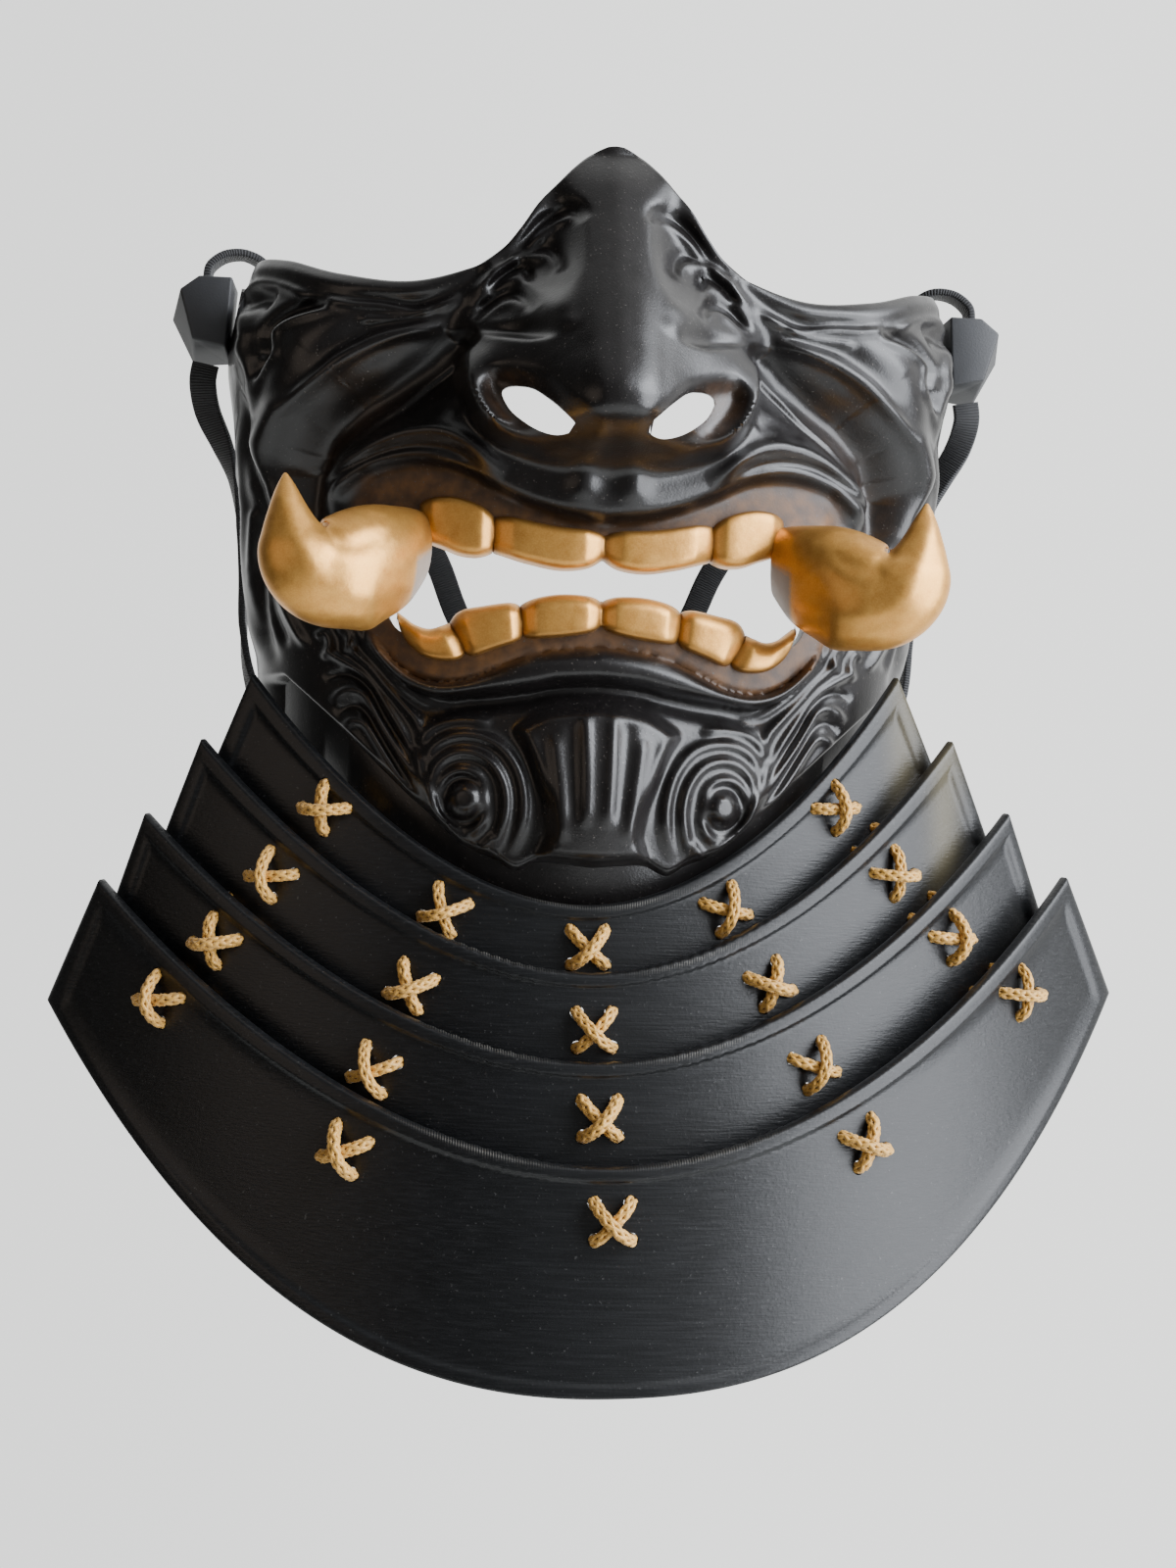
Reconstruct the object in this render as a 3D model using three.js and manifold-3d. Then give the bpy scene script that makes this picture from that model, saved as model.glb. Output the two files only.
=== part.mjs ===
// Samurai face guard: half mask with teeth and tusks, four laced throat plates, two strap blocks
// and two elastic loops. Millimetres, +Z up, the face looks along -Y.
// The origin is the middle of the mask's open back, level with the mouth.
import * as THREE from 'three';
import { mergeVertices } from 'three/addons/utils/BufferGeometryUtils.js';
import Module from 'manifold-3d';

const wasm = await Module();
wasm.setup();

// ---------- driving dimensions ----------
const gap = 0.35;

const shell = {
  rearHalfWidth: 87, // at the cheeks
  jawNarrowing: 8, // how much less at the jaw
  depth: 60, // open back to the front of the gums
  wall: 3,
  thickestWall: 6, // along the view, where the surface is steep
  columns: 38,
  rows: 21,
};

const teeth = { proud: 4.2, thickness: 7.5, bulge: 1.4 };

const plates = {
  thickness: 2.8,
  rimWidth: 2.4,
  rimStep: 0.8,
  rimSlope: 1.25, // where the rim's step ends, in rim widths
  topPower: 1.9, // how the top edges rise from the middle to the corners
  bend: 0.0037, // backward sweep, per mm of half width squared
  flare: 0.12, // forward lean of the lower edges
  hangTurn: THREE.MathUtils.degToRad(2), // the chain of plates hangs plumb, the mask leans
  hangPoint: [0, -62],
  columns: 16,
};

// Each plate: top and bottom at the middle, where its top corner and its side's lower end are,
// how far forward its middle stands at the top, its sideways slip, and its lace crosses.
const plateList = [
  { top: -80, bottom: -102, corner: [76, -28], side: [86, -51], bottomPower: 2,
    front: 64, slip: -1.5, crosses: [[0, -89], [31.5, -81], [58.5, -58.5]] },
  { top: -94, bottom: -120, corner: [88, -43], side: [98, -68], bottomPower: 2,
    front: 73, slip: -0.8, crosses: [[0, -106], [39.6, -97], [71, -73.5]] },
  { top: -112, bottom: -140, corner: [101, -60], side: [111, -87], bottomPower: 2,
    front: 82.8, slip: -0.4, crosses: [[0, -123.4], [47.8, -114], [83.5, -88]] },
  { top: -132, bottom: -177.8, corner: [113, -75], side: [126, -103], bottomPower: 2.4,
    front: 93.8, slip: 1.4, crosses: [[0, -142.7], [55.5, -129.5], [97.5, -100.5]] },
];

const lace = {
  radius: 1.35,
  sides: 6,
  holeRadius: 1.95,
  holeSides: 6,
  reach: 3.75, // from a cross's middle to its holes, each way
  clear: 0.4, // cord to plate
  lowerHoles: 4.2, // above the bottom edge
};

const strap = { width: 6.5, thickness: 1.8 };

// ---------- small helpers ----------
const bell = (t) => Math.exp(-t * t);
const lerp = THREE.MathUtils.lerp;
const smoothstep = THREE.MathUtils.smoothstep;

// A smooth curve through [position, value] pairs.
function through(pairs) {
  const last = pairs.length - 1;
  return (x) => {
    if (x <= pairs[0][0]) return pairs[0][1];
    if (x >= pairs[last][0]) return pairs[last][1];
    let i = 0;
    while (x > pairs[i + 1][0]) i += 1;
    const [before, a, b, after] = [-1, 0, 1, 2].map(
      (k) => pairs[Math.min(Math.max(i + k, 0), last)],
    );
    const span = b[0] - a[0];
    const t = (x - a[0]) / span;
    const slopeA = ((b[1] - before[1]) / (b[0] - before[0])) * span;
    const slopeB = ((after[1] - a[1]) / (after[0] - a[0])) * span;
    const [t2, t3] = [t * t, t * t * t];
    return (2 * t3 - 3 * t2 + 1) * a[1] + (t3 - 2 * t2 + t) * slopeA
      + (3 * t2 - 2 * t3) * b[1] + (t3 - t2) * slopeB;
  };
}

// Distance from a point to a run of points, in the front view.
function distanceTo(points, x, z) {
  let nearest = Infinity;
  for (let i = 1; i < points.length; i += 1) {
    const [ax, az] = points[i - 1];
    const [bx, bz] = points[i];
    const [dx, dz] = [bx - ax, bz - az];
    const t = THREE.MathUtils.clamp(((x - ax) * dx + (z - az) * dz) / (dx * dx + dz * dz), 0, 1);
    nearest = Math.min(nearest, Math.hypot(x - ax - t * dx, z - az - t * dz));
  }
  return nearest;
}

function meshGeometry(vertices, triangles) {
  const geometry = new THREE.BufferGeometry();
  geometry.setAttribute('position', new THREE.Float32BufferAttribute(vertices.flat(), 3));
  geometry.setIndex(triangles.flat());
  return geometry;
}

function toSolid(geometry) {
  const bare = geometry.clone();
  bare.deleteAttribute('normal');
  bare.deleteAttribute('uv');
  const merged = mergeVertices(bare, 1e-4);
  return new wasm.Manifold(new wasm.Mesh({
    numProp: 3,
    vertProperties: new Float32Array(merged.attributes.position.array),
    triVerts: new Uint32Array(merged.index.array),
  }));
}

function fromSolid(solid) {
  const mesh = solid.getMesh();
  const geometry = new THREE.BufferGeometry();
  geometry.setAttribute('position', new THREE.Float32BufferAttribute(mesh.vertProperties, 3));
  geometry.setIndex(Array.from(mesh.triVerts));
  return geometry;
}

// A closed solid between two sheets of columns x rows points, its faces pointing out where
// (across, up, towards the front sheet) is right-handed. The two halves' diagonals mirror.
function solidBetween(columns, rows, front, back) {
  const vertices = [];
  for (const sheet of [front, back]) {
    for (let j = 0; j <= rows; j += 1) {
      for (let i = 0; i <= columns; i += 1) vertices.push(sheet(i, j));
    }
  }
  const at = (side, i, j) => side * (columns + 1) * (rows + 1) + j * (columns + 1) + i;
  const triangles = [];
  const quad = (a, b, c, d) => triangles.push([a, b, c], [a, c, d]);
  for (let j = 0; j < rows; j += 1) {
    for (let i = 0; i < columns; i += 1) {
      const first = [at(0, i, j), at(0, i + 1, j), at(0, i + 1, j + 1), at(0, i, j + 1)];
      const second = [at(1, i + 1, j), at(1, i, j), at(1, i, j + 1), at(1, i + 1, j + 1)];
      if (i >= columns / 2) [first, second].forEach((corners) => corners.push(corners.shift()));
      quad(...first);
      quad(...second);
    }
  }
  for (let i = 0; i < columns; i += 1) {
    quad(at(0, i + 1, 0), at(0, i, 0), at(1, i, 0), at(1, i + 1, 0));
    quad(at(0, i, rows), at(0, i + 1, rows), at(1, i + 1, rows), at(1, i, rows));
  }
  for (let j = 0; j < rows; j += 1) {
    quad(at(0, 0, j), at(0, 0, j + 1), at(1, 0, j + 1), at(1, 0, j));
    quad(at(0, columns, j + 1), at(0, columns, j), at(1, columns, j), at(1, columns, j + 1));
  }
  return meshGeometry(vertices, triangles);
}

// A closed tube of rings of points, one ring for each station, running along the stations.
function solidThroughRings(rings) {
  const sides = rings[0].length;
  const vertices = rings.flat();
  const triangles = [];
  for (let r = 0; r < rings.length - 1; r += 1) {
    for (let k = 0; k < sides; k += 1) {
      const next = (k + 1) % sides;
      const [a, b] = [r * sides + k, r * sides + next];
      triangles.push([a, b, b + sides], [a, b + sides, a + sides]);
    }
  }
  const end = (rings.length - 1) * sides;
  for (let k = 1; k < sides - 1; k += 1) {
    triangles.push([0, k + 1, k], [end, end + k, end + k + 1]);
  }
  return meshGeometry(vertices, triangles);
}

// An outline in the front view, right through from y = near to y = far.
function cutter(points, near, far) {
  const shape = new THREE.Shape(points.map(([x, z]) => new THREE.Vector2(x, z)));
  const geometry = new THREE.ExtrudeGeometry(shape, { depth: far - near, bevelEnabled: false });
  geometry.rotateX(Math.PI / 2);
  geometry.translate(0, far, 0);
  return toSolid(geometry);
}

const mirrored = (points) => points.map(([x, ...rest]) => [-x, ...rest]);
const bothSides = (half) => [...half, ...mirrored(half).reverse()];

// ---------- the face, in the front view ----------
const topEdge = through([
  [0, 89.8], [6.5, 87], [12, 81], [17, 75.5], [21, 69.5], [25, 64.8], [32, 60.5], [48, 57.5],
  [66, 60], [86, 65.5], [104, 67], [112, 62], [121, 59.5], [129, 61], [137, 66.5],
]);
const bottomEdge = through([
  [0, -86], [20, -84], [40, -78], [55, -70], [70, -61], [85, -53], [100, -48], [137, -45],
]);
const noseHeight = through([
  [-10, 0], [8, 2], [15, 6], [19, 15], [22, 29], [25, 35.5], [30, 36], [40, 30], [50, 23.5],
  [60, 16.5], [71, 9], [80, 3], [88, -4],
]);
const noseHalfWidth = through([[10, 13], [22, 16], [30, 18], [40, 17], [50, 15.5], [71, 12.5]]);
const upperLip = through([[0, 6], [19, 9.7], [31.5, 14.7], [42, 17], [53, 15], [60, 10], [63, 6]]);
const lowerGum = through([[0, -22.3], [10, -24.3], [20.5, -28], [32.5, -31], [40, -30.3], [46, -26]]);
const jawLine = through([[0, -71], [16.5, -71.5], [29, -65], [40.5, -56], [56, -43], [72, -30]]);
const cheekGroove = [[32, 44], [51, 35], [63, 27], [68, 18], [65, 8]];

// How far the carved face stands in front of the plain curved shell. Each bell has its height,
// then its middle and half width across and up.
function relief(x, z) {
  const a = Math.abs(x);
  const nose = noseHeight(z) / (1 + (a / noseHalfWidth(z)) ** 3.5); // flat ridge, soft flanks
  const wing = 10 * bell((a - 22) / 7) * bell((z - 33) / 8);
  const cheek = 7 * bell((a - 64) / 22) * bell((z - 47) / 15) * smoothstep(86 - a, 0, 7);
  const groove = -6 * bell(distanceTo(cheekGroove, a, z) / 8);
  const insideMouth = smoothstep(64 - a, 0, 8);
  const lip = 5 * bell((z - upperLip(a) - 6) / 8) * insideMouth;
  const lowLip = 5 * bell((z - lowerGum(a) + 5) / 5) * smoothstep(60 - a, 0, 14);
  const chin = 9 * bell(a / 17) * bell((z + 54) / 20);
  const belowUpperLip = smoothstep(upperLip(a) - z, -1, 2);
  const aboveGumLine = smoothstep(z - lowerGum(a), -1, 2);
  const gum = -5 * belowUpperLip * aboveGumLine * smoothstep(58 - a, 0, 10);
  const skirt = -5 * smoothstep(jawLine(a) - z, -1, 3) * smoothstep(78 - a, 0, 8);
  return nose + wing + cheek + groove + lip + lowLip + chin + gum + skirt;
}

const halfWidthAt = (z) => shell.rearHalfWidth - shell.jawNarrowing * smoothstep(-z, -25, 42);

// A point of the face: angle 0 is the middle, +-90 degrees the open back's edges.
function facePoint(angle, z, height) {
  const turn = angle * smoothstep(Math.abs(angle), 0.45, 1.3);
  const width = halfWidthAt(z);
  return [
    width * Math.sin(angle) + height * Math.sin(turn),
    -shell.depth * Math.cos(angle) - height * Math.cos(turn),
    z,
  ];
}

const angleOf = (x, z) => Math.asin(THREE.MathUtils.clamp(x / halfWidthAt(z), -1, 1));

function wallDepth(x, z) {
  const step = 1.5;
  const acrossSlope = (relief(x + step, z) - relief(x - step, z)) / (2 * step);
  const upSlope = (relief(x, z + step) - relief(x, z - step)) / (2 * step);
  return Math.min(shell.wall * Math.hypot(1, acrossSlope, upSlope), shell.thickestWall);
}

// ---------- teeth and tusks ----------
const upperRow = [
  { from: 0.6, to: 23.8, top: [3, 5.8], bottom: [-4.4, -2.2] },
  { from: 24.6, to: 40.6, top: [7, 8.4], bottom: [-2.2, 0.2] },
];
const lowerRow = [
  { from: 0.5, to: 17.4, top: [-11, -12.6], bottom: [-18.6, -21.4] },
  { from: 17.9, to: 33, top: [-12.8, -18], bottom: [-21.6, -26.4] },
  { from: 33.4, to: 45, top: [-19.3, -15.5], bottom: [-26.6, -25] },
];
const toothSteps = [0, 0.12, 0.35, 0.65, 0.88, 1];

// One row of teeth as a single solid, grown all round by `grow`.
function toothRow(row, grow) {
  const half = row.flatMap((tooth) => toothSteps.map((t) => ({
    x: lerp(tooth.from, tooth.to, t),
    top: lerp(tooth.top[0], tooth.top[1], t) - 0.9 * (2 * t - 1) ** 6,
    bottom: lerp(tooth.bottom[0], tooth.bottom[1], t) + 0.9 * (2 * t - 1) ** 6,
    swell: teeth.bulge * (1 - (2 * t - 1) ** 4),
  })));
  const stations = [...half.map((s) => ({ ...s, x: -s.x })).reverse(), ...half];
  stations[0] = { ...stations[0], x: stations[0].x - grow };
  stations[stations.length - 1] = { ...half[half.length - 1], x: half[half.length - 1].x + grow };
  const heights = [0, 0.2, 0.8, 1];
  const place = (i, j, proud) => {
    const s = stations[i];
    const z = lerp(s.bottom - grow, s.top + grow, heights[j]);
    return facePoint(angleOf(s.x, z), z, proud);
  };
  const rounding = (j) => (heights[j] === 0 || heights[j] === 1 ? -1 : 0);
  return solidBetween(
    stations.length - 1,
    heights.length - 1,
    (i, j) => place(i, j, teeth.proud + stations[i].swell + rounding(j) + grow),
    (i, j) => place(i, j, teeth.proud - teeth.thickness - grow),
  );
}

// Stations of the right tusk: middle and radius.
const tuskStations = [
  [41.5, -46.5, -3, 9.5], [46.8, -55, -4.8, 12.8], [51.5, -64, -7, 13.8], [55.6, -70.5, -9.2, 12.6],
  [60, -73.8, -10.2, 10.8], [63.6, -75, -8.6, 8.9], [66.4, -75.2, -4, 6.8], [68, -74.6, 1.4, 4.7],
  [69, -73.6, 6.2, 3], [69.4, -72.6, 9.6, 1.5], [69.6, -72, 11.4, 0.5],
];

function tusk(grow) {
  const centres = tuskStations.map(([x, y, z]) => new THREE.Vector3(x, y, z));
  const sides = 10;
  const rings = tuskStations.map(([, , , radius], i) => {
    const before = centres[Math.max(i - 1, 0)];
    const after = centres[Math.min(i + 1, centres.length - 1)];
    const along = after.clone().sub(before).normalize();
    const outward = new THREE.Vector3(0, -1, 0).addScaledVector(along, along.y).normalize();
    const across = outward.clone().cross(along).normalize();
    return Array.from({ length: sides }, (_, k) => {
      const angle = (k / sides) * 2 * Math.PI;
      return centres[i].clone()
        .addScaledVector(across, (radius + grow) * Math.cos(angle))
        .addScaledVector(outward, (radius * 0.85 + grow) * Math.sin(angle))
        .toArray();
    });
  });
  return solidThroughRings(rings);
}

// The tusk beside its neighbouring teeth, cut to leave a gap to them.
function seatedTusk() {
  let solid = toSolid(tusk(0));
  for (const row of [upperRow, lowerRow]) solid = solid.subtract(toSolid(toothRow(row, gap)));
  return fromSolid(solid);
}

function mirrorGeometry(geometry) {
  const copy = geometry.clone();
  copy.scale(-1, 1, 1);
  const index = Array.from(copy.index.array);
  for (let i = 0; i < index.length; i += 3) [index[i], index[i + 1]] = [index[i + 1], index[i]];
  copy.setIndex(index);
  return copy;
}

// ---------- mask shell ----------
const mouthOpening = bothSides([
  [8, -1.5], [23, 0.5], [38, 2], [45, 0], [48, -8], [47, -17], [42, -21.5], [33, -21.5],
  [17, -16.5], [6, -14.5],
]);
const nostril = [
  [6.3, 25.2], [9, 22.6], [13.5, 21.9], [18, 24], [21, 28.3], [22, 32.3], [18.5, 33], [14.5, 31.6],
  [10, 28.6],
];

function maskShell() {
  const angleAt = (i) => {
    const c = (2 * i) / shell.columns - 1;
    return (Math.PI / 2) * (0.75 * c + 0.25 * c ** 3);
  };
  const heightAt = (i, j) => {
    const across = Math.abs(shell.rearHalfWidth * angleAt(i));
    return lerp(bottomEdge(across), topEdge(across), j / shell.rows);
  };
  const place = (i, j, inward) => {
    const [angle, z] = [angleAt(i), heightAt(i, j)];
    const x = halfWidthAt(z) * Math.sin(angle);
    return facePoint(angle, z, relief(x, z) - (inward ? wallDepth(x, z) : 0));
  };
  let solid = toSolid(solidBetween(
    shell.columns,
    shell.rows,
    (i, j) => place(i, j, false),
    (i, j) => place(i, j, true),
  ));
  const openings = [mouthOpening, nostril, mirrored(nostril)];
  for (const outline of openings) solid = solid.subtract(cutter(outline, -115, -20));
  const seated = [toothRow(upperRow, gap), toothRow(lowerRow, gap), tusk(gap)];
  for (const piece of [...seated, mirrorGeometry(seated[2])]) solid = solid.subtract(toSolid(piece));
  return fromSolid(solid);
}

// ---------- throat plates ----------
// The height of an edge that is lowest in the middle and rises to its corner.
function edgeHeight(middle, [cornerX, cornerZ], power, x) {
  return middle + (cornerZ - middle) * (Math.abs(x) / cornerX) ** power;
}

const topOf = (plate, x) => edgeHeight(plate.top, plate.corner, plates.topPower, x);
const bottomOf = (plate, x) => edgeHeight(plate.bottom, plate.side, plate.bottomPower, x);

const plateFront = (plate, x, z) => (
  -plate.front - plates.flare * (plate.top - z) + plates.bend * x * x
);

// The hang of the whole chain: a turn about the hang point and a small slip of the plate.
function hang(plate, [x, y, z]) {
  const [px, pz] = plates.hangPoint;
  const [c, s] = [Math.cos(plates.hangTurn), Math.sin(plates.hangTurn)];
  return [px + plate.slip + c * (x - px) - s * (z - pz), y, pz + s * (x - px) + c * (z - pz)];
}

// A point of a plate, `out` millimetres in front of its front face.
function platePoint(plate, x, z, out) {
  const normal = new THREE.Vector3(2 * plates.bend * x, -1, -plates.flare).normalize();
  return [x + normal.x * out, plateFront(plate, x, z) + normal.y * out, z + normal.z * out];
}

function plateSolid(plate) {
  const sideLength = Math.hypot(plate.side[0] - plate.corner[0], plate.side[1] - plate.corner[1]);
  const { rimWidth, rimStep, columns, rimSlope } = plates;
  const edge = (0.8 * rimWidth) / plate.corner[0];
  const inner = edge * rimSlope;
  const across = [-1, -1 + edge, -1 + inner];
  for (let i = 1; i < columns; i += 1) across.push((1 - inner) * ((2 * i) / columns - 1));
  across.push(1 - inner, 1 - edge, 1);
  const rim = rimWidth / sideLength;
  const up = [0, rim, rim * rimSlope, 1 - rim * rimSlope, 1 - rim, 1];
  const inField = (i, j) => i > 1 && i < across.length - 2 && j > 1 && j < up.length - 2;
  const place = (i, j, out) => {
    const [s, t] = [across[i], up[j]];
    const [topX, bottomX] = [s * plate.corner[0], s * plate.side[0]];
    const x = lerp(bottomX, topX, t);
    const z = lerp(bottomOf(plate, bottomX), topOf(plate, topX), t);
    return hang(plate, platePoint(plate, x, z, out));
  };
  let solid = toSolid(solidBetween(
    across.length - 1,
    up.length - 1,
    (i, j) => place(i, j, inField(i, j) ? -rimStep : 0),
    (i, j) => place(i, j, -plates.thickness),
  ));
  for (const hole of plateHoles(plate)) solid = solid.subtract(hole);
  return fromSolid(solid);
}

// The middle of a cross and its two directions: along the plate's arc and up across it.
function crossFrame(plate, column) {
  const side = Math.sign(column - 2);
  const [x, z] = plate.crosses[Math.abs(column - 2)];
  const tilt = Math.atan((topOf(plate, x + 1) - topOf(plate, x - 1)) / 2);
  return {
    middle: [side * x, z],
    along: [Math.cos(tilt), side * Math.sin(tilt)],
    up: [-side * Math.sin(tilt), Math.cos(tilt)],
  };
}

// A place near a cross: `s` along the arc, `t` up, `out` in front of the plate.
function nearCross(plate, frame, s, t, out) {
  const x = frame.middle[0] + frame.along[0] * s + frame.up[0] * t;
  const z = frame.middle[1] + frame.along[1] * s + frame.up[1] * t;
  return hang(plate, platePoint(plate, x, z, out));
}

// How far below its cross a plate's lower lace holes are.
function lowerHoleDrop(plate, frame) {
  const above = (drop) => {
    const x = frame.middle[0] - frame.up[0] * drop;
    return (frame.middle[1] - frame.up[1] * drop - bottomOf(plate, x)) * frame.along[0];
  };
  let drop = lace.reach;
  while (above(drop) > lace.lowerHoles) drop += 0.25;
  return drop;
}

function plateHoles(plate) {
  const spots = [];
  for (let column = 0; column < 5; column += 1) {
    const frame = crossFrame(plate, column);
    const drops = [lace.reach, -lace.reach];
    if (plate !== plateList[3]) drops.push(-lowerHoleDrop(plate, frame));
    for (const drop of drops) {
      for (const s of [-lace.reach, lace.reach]) spots.push([frame, s, drop]);
    }
  }
  return spots.map(([frame, s, drop]) => {
    const start = new THREE.Vector3(...nearCross(plate, frame, s, drop, 3));
    const end = new THREE.Vector3(...nearCross(plate, frame, s, drop, -plates.thickness - 3));
    const cylinder = new THREE.CylinderGeometry(
      lace.holeRadius, lace.holeRadius, start.distanceTo(end), lace.holeSides,
    );
    const turn = new THREE.Quaternion().setFromUnitVectors(
      new THREE.Vector3(0, 1, 0), end.clone().sub(start).normalize(),
    );
    cylinder.applyQuaternion(turn);
    cylinder.translate(...start.add(end).multiplyScalar(0.5).toArray());
    return toSolid(cylinder);
  });
}

// ---------- lacing ----------
// A path whose corners are its points, so that a tube has one ring at each of them.
class CornerPath extends THREE.Curve {
  constructor(points) {
    super();
    this.points = points.map((p) => new THREE.Vector3(...p));
  }

  getPoint(t) {
    const place = t * (this.points.length - 1);
    const i = Math.min(Math.floor(place), this.points.length - 2);
    return this.points[i].clone().lerp(this.points[i + 1], place - i);
  }

  getPointAt(u) {
    return this.getPoint(u);
  }

  getTangentAt(u) {
    const i = Math.round(u * (this.points.length - 1));
    const before = this.points[Math.max(i - 1, 0)];
    const after = this.points[Math.min(i + 1, this.points.length - 1)];
    const into = this.points[i].clone().sub(before).normalize();
    const away = after.clone().sub(this.points[i]).normalize();
    return into.add(away).normalize();
  }
}

function tube(points, radius, sides) {
  const section = new THREE.Shape(Array.from({ length: sides }, (_, k) => {
    const angle = (k / sides) * 2 * Math.PI;
    return new THREE.Vector2(radius * Math.cos(angle), radius * Math.sin(angle));
  }));
  return new THREE.ExtrudeGeometry(section, {
    steps: points.length - 1,
    extrudePath: new CornerPath(points),
    bevelEnabled: false,
  });
}

// One half of a column's cord, from the top downwards. It starts on `side` (-1 or 1) and
// changes sides at every cross; `over` says whether it passes on top at the crosses.
function laceHalf(column, side, over) {
  const near = lace.radius + lace.clear;
  const behind = -(plates.thickness + near);
  const top = over ? 3 * lace.radius + 2 * lace.clear : near;
  const points = [];
  let s = side * lace.reach;
  plateList.forEach((plate, index) => {
    const frame = crossFrame(plate, column);
    const put = (sideways, up, out) => points.push(nearCross(plate, frame, sideways, up, out));
    put(s, lace.reach, behind);
    put(s, lace.reach, near);
    put(0, 0, top);
    put(-s, -lace.reach, near);
    put(-s, -lace.reach, behind);
    s = -s;
    if (index < plateList.length - 1) {
      const drop = lowerHoleDrop(plate, frame);
      put(s, -drop, behind);
      put(s, -drop, near);
    } else {
      put(s, -lace.reach - 6, behind);
    }
  });
  return points;
}

// Both halves of a column's cord, joined by a run behind plate 1.
function laceColumn(column) {
  const points = [...laceHalf(column, -1, false).reverse(), ...laceHalf(column, 1, true)];
  return tube(points, lace.radius, lace.sides);
}

// ---------- strap blocks and straps ----------
const blockFront = [[88.4, 66.5], [96.5, 66.5], [101, 63], [97.5, 51], [89.5, 49.5]];
const blockBack = [[88.4, 66.5], [98, 66.5], [104.5, 58.5], [98.5, 47], [89.5, 48]];

function strapBlock() {
  const ring = (outline, y) => outline.map(([x, z]) => [x, y, z]);
  return solidThroughRings([ring(blockFront, -12), ring(blockBack, 3)]);
}

// Right halves of the strap routes, from the block to the middle; the fourth value turns the
// flat side: 0 faces sideways, 1 faces forward.
const headStrapRoute = [
  [95.2, -4, 67.2, 0], [94.6, -3.7, 70.5, 0], [91, -2.5, 73.6, 0], [86, -1, 74.3, 0],
  [81.5, 2, 72, 0.1], [77, 6, 65, 0.3], [71, 11, 54.5, 0.6], [62.5, 18, 41, 0.9],
  [53, 24, 28, 1], [44, 28, 16, 1], [36.5, 30, 4, 1], [31.5, 31, -8, 1], [25, 32, -20, 1],
  [16.5, 33, -30, 1], [6, 33.5, -35.5, 1],
];
const neckStrapRoute = [
  [95, -4, 46.6, 1], [95.6, -3.4, 42, 1], [94.5, 0, 35.5, 0.8], [91, 3, 28, 0.5],
  [88, 5, 20, 0.2], [86, 6, 8, 0], [85, 6, -4, 0], [84.5, 5.5, -16, 0], [82.5, 5.5, -29, 0.2],
  [77, 7, -42, 0.5], [69, 9, -55, 0.8], [57, 12, -69, 1], [43, 14.5, -80.5, 1],
  [27, 16.5, -88.5, 1], [9, 17.5, -92.5, 1],
];

function flatStrap(half) {
  const stations = [...half, ...mirrored(half).reverse()];
  const centres = stations.map(([x, y, z]) => new THREE.Vector3(x, y, z));
  const rings = stations.map(([x, , , faceTurn], i) => {
    const before = centres[Math.max(i - 1, 0)];
    const after = centres[Math.min(i + 1, centres.length - 1)];
    const along = after.clone().sub(before).normalize();
    const forward = new THREE.Vector3(0, -1, 0).addScaledVector(along, along.y).normalize();
    const sideways = forward.clone().cross(along).normalize();
    const turn = Math.sign(x) * (Math.PI / 2) * faceTurn;
    const broad = forward.clone().multiplyScalar(Math.cos(turn))
      .addScaledVector(sideways, Math.sin(turn));
    const thin = broad.clone().cross(along).normalize();
    const corners = [[-1, -1], [-1, 1], [1, 1], [1, -1]];
    return corners.map(([b, t]) => centres[i].clone()
      .addScaledVector(broad, (b * strap.width) / 2)
      .addScaledVector(thin, (t * strap.thickness) / 2)
      .toArray());
  });
  return solidThroughRings(rings);
}

// ---------- assembly ----------
const finish = (color, roughness, metalness) => (
  new THREE.MeshStandardMaterial({ color, roughness, metalness })
);
const lacquer = () => finish('#0b0a0a', 0.22, 0);
const goldPaint = () => finish('#c08a45', 0.38, 0.6);
const satinPlastic = () => finish('#141517', 0.5, 0);
const goldCord = () => finish('#c9a25c', 0.75, 0.1);
const blockPlastic = () => finish('#232426', 0.6, 0);
const elastic = () => finish('#0d0d0e', 0.9, 0);

const faceGuard = new THREE.Group();

function add(name, geometry, material) {
  const mesh = new THREE.Mesh(geometry, material);
  mesh.name = name;
  faceGuard.add(mesh);
}

add('mask_shell', maskShell(), lacquer());
add('upper_teeth', toothRow(upperRow, 0), goldPaint());
add('lower_teeth', toothRow(lowerRow, 0), goldPaint());
add('tusk_right', seatedTusk(), goldPaint());
add('tusk_left', mirrorGeometry(seatedTusk()), goldPaint());
add('strap_block_right', strapBlock(), blockPlastic());
add('strap_block_left', mirrorGeometry(strapBlock()), blockPlastic());
plateList.forEach((plate, i) => add(`neck_plate_${i + 1}`, plateSolid(plate), satinPlastic()));
for (let column = 0; column < 5; column += 1) {
  add(`neck_lace_${column + 1}`, laceColumn(column), goldCord());
}
add('head_strap', flatStrap(headStrapRoute), elastic());
add('neck_strap', flatStrap(neckStrapRoute), elastic());

export default faceGuard;
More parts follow.
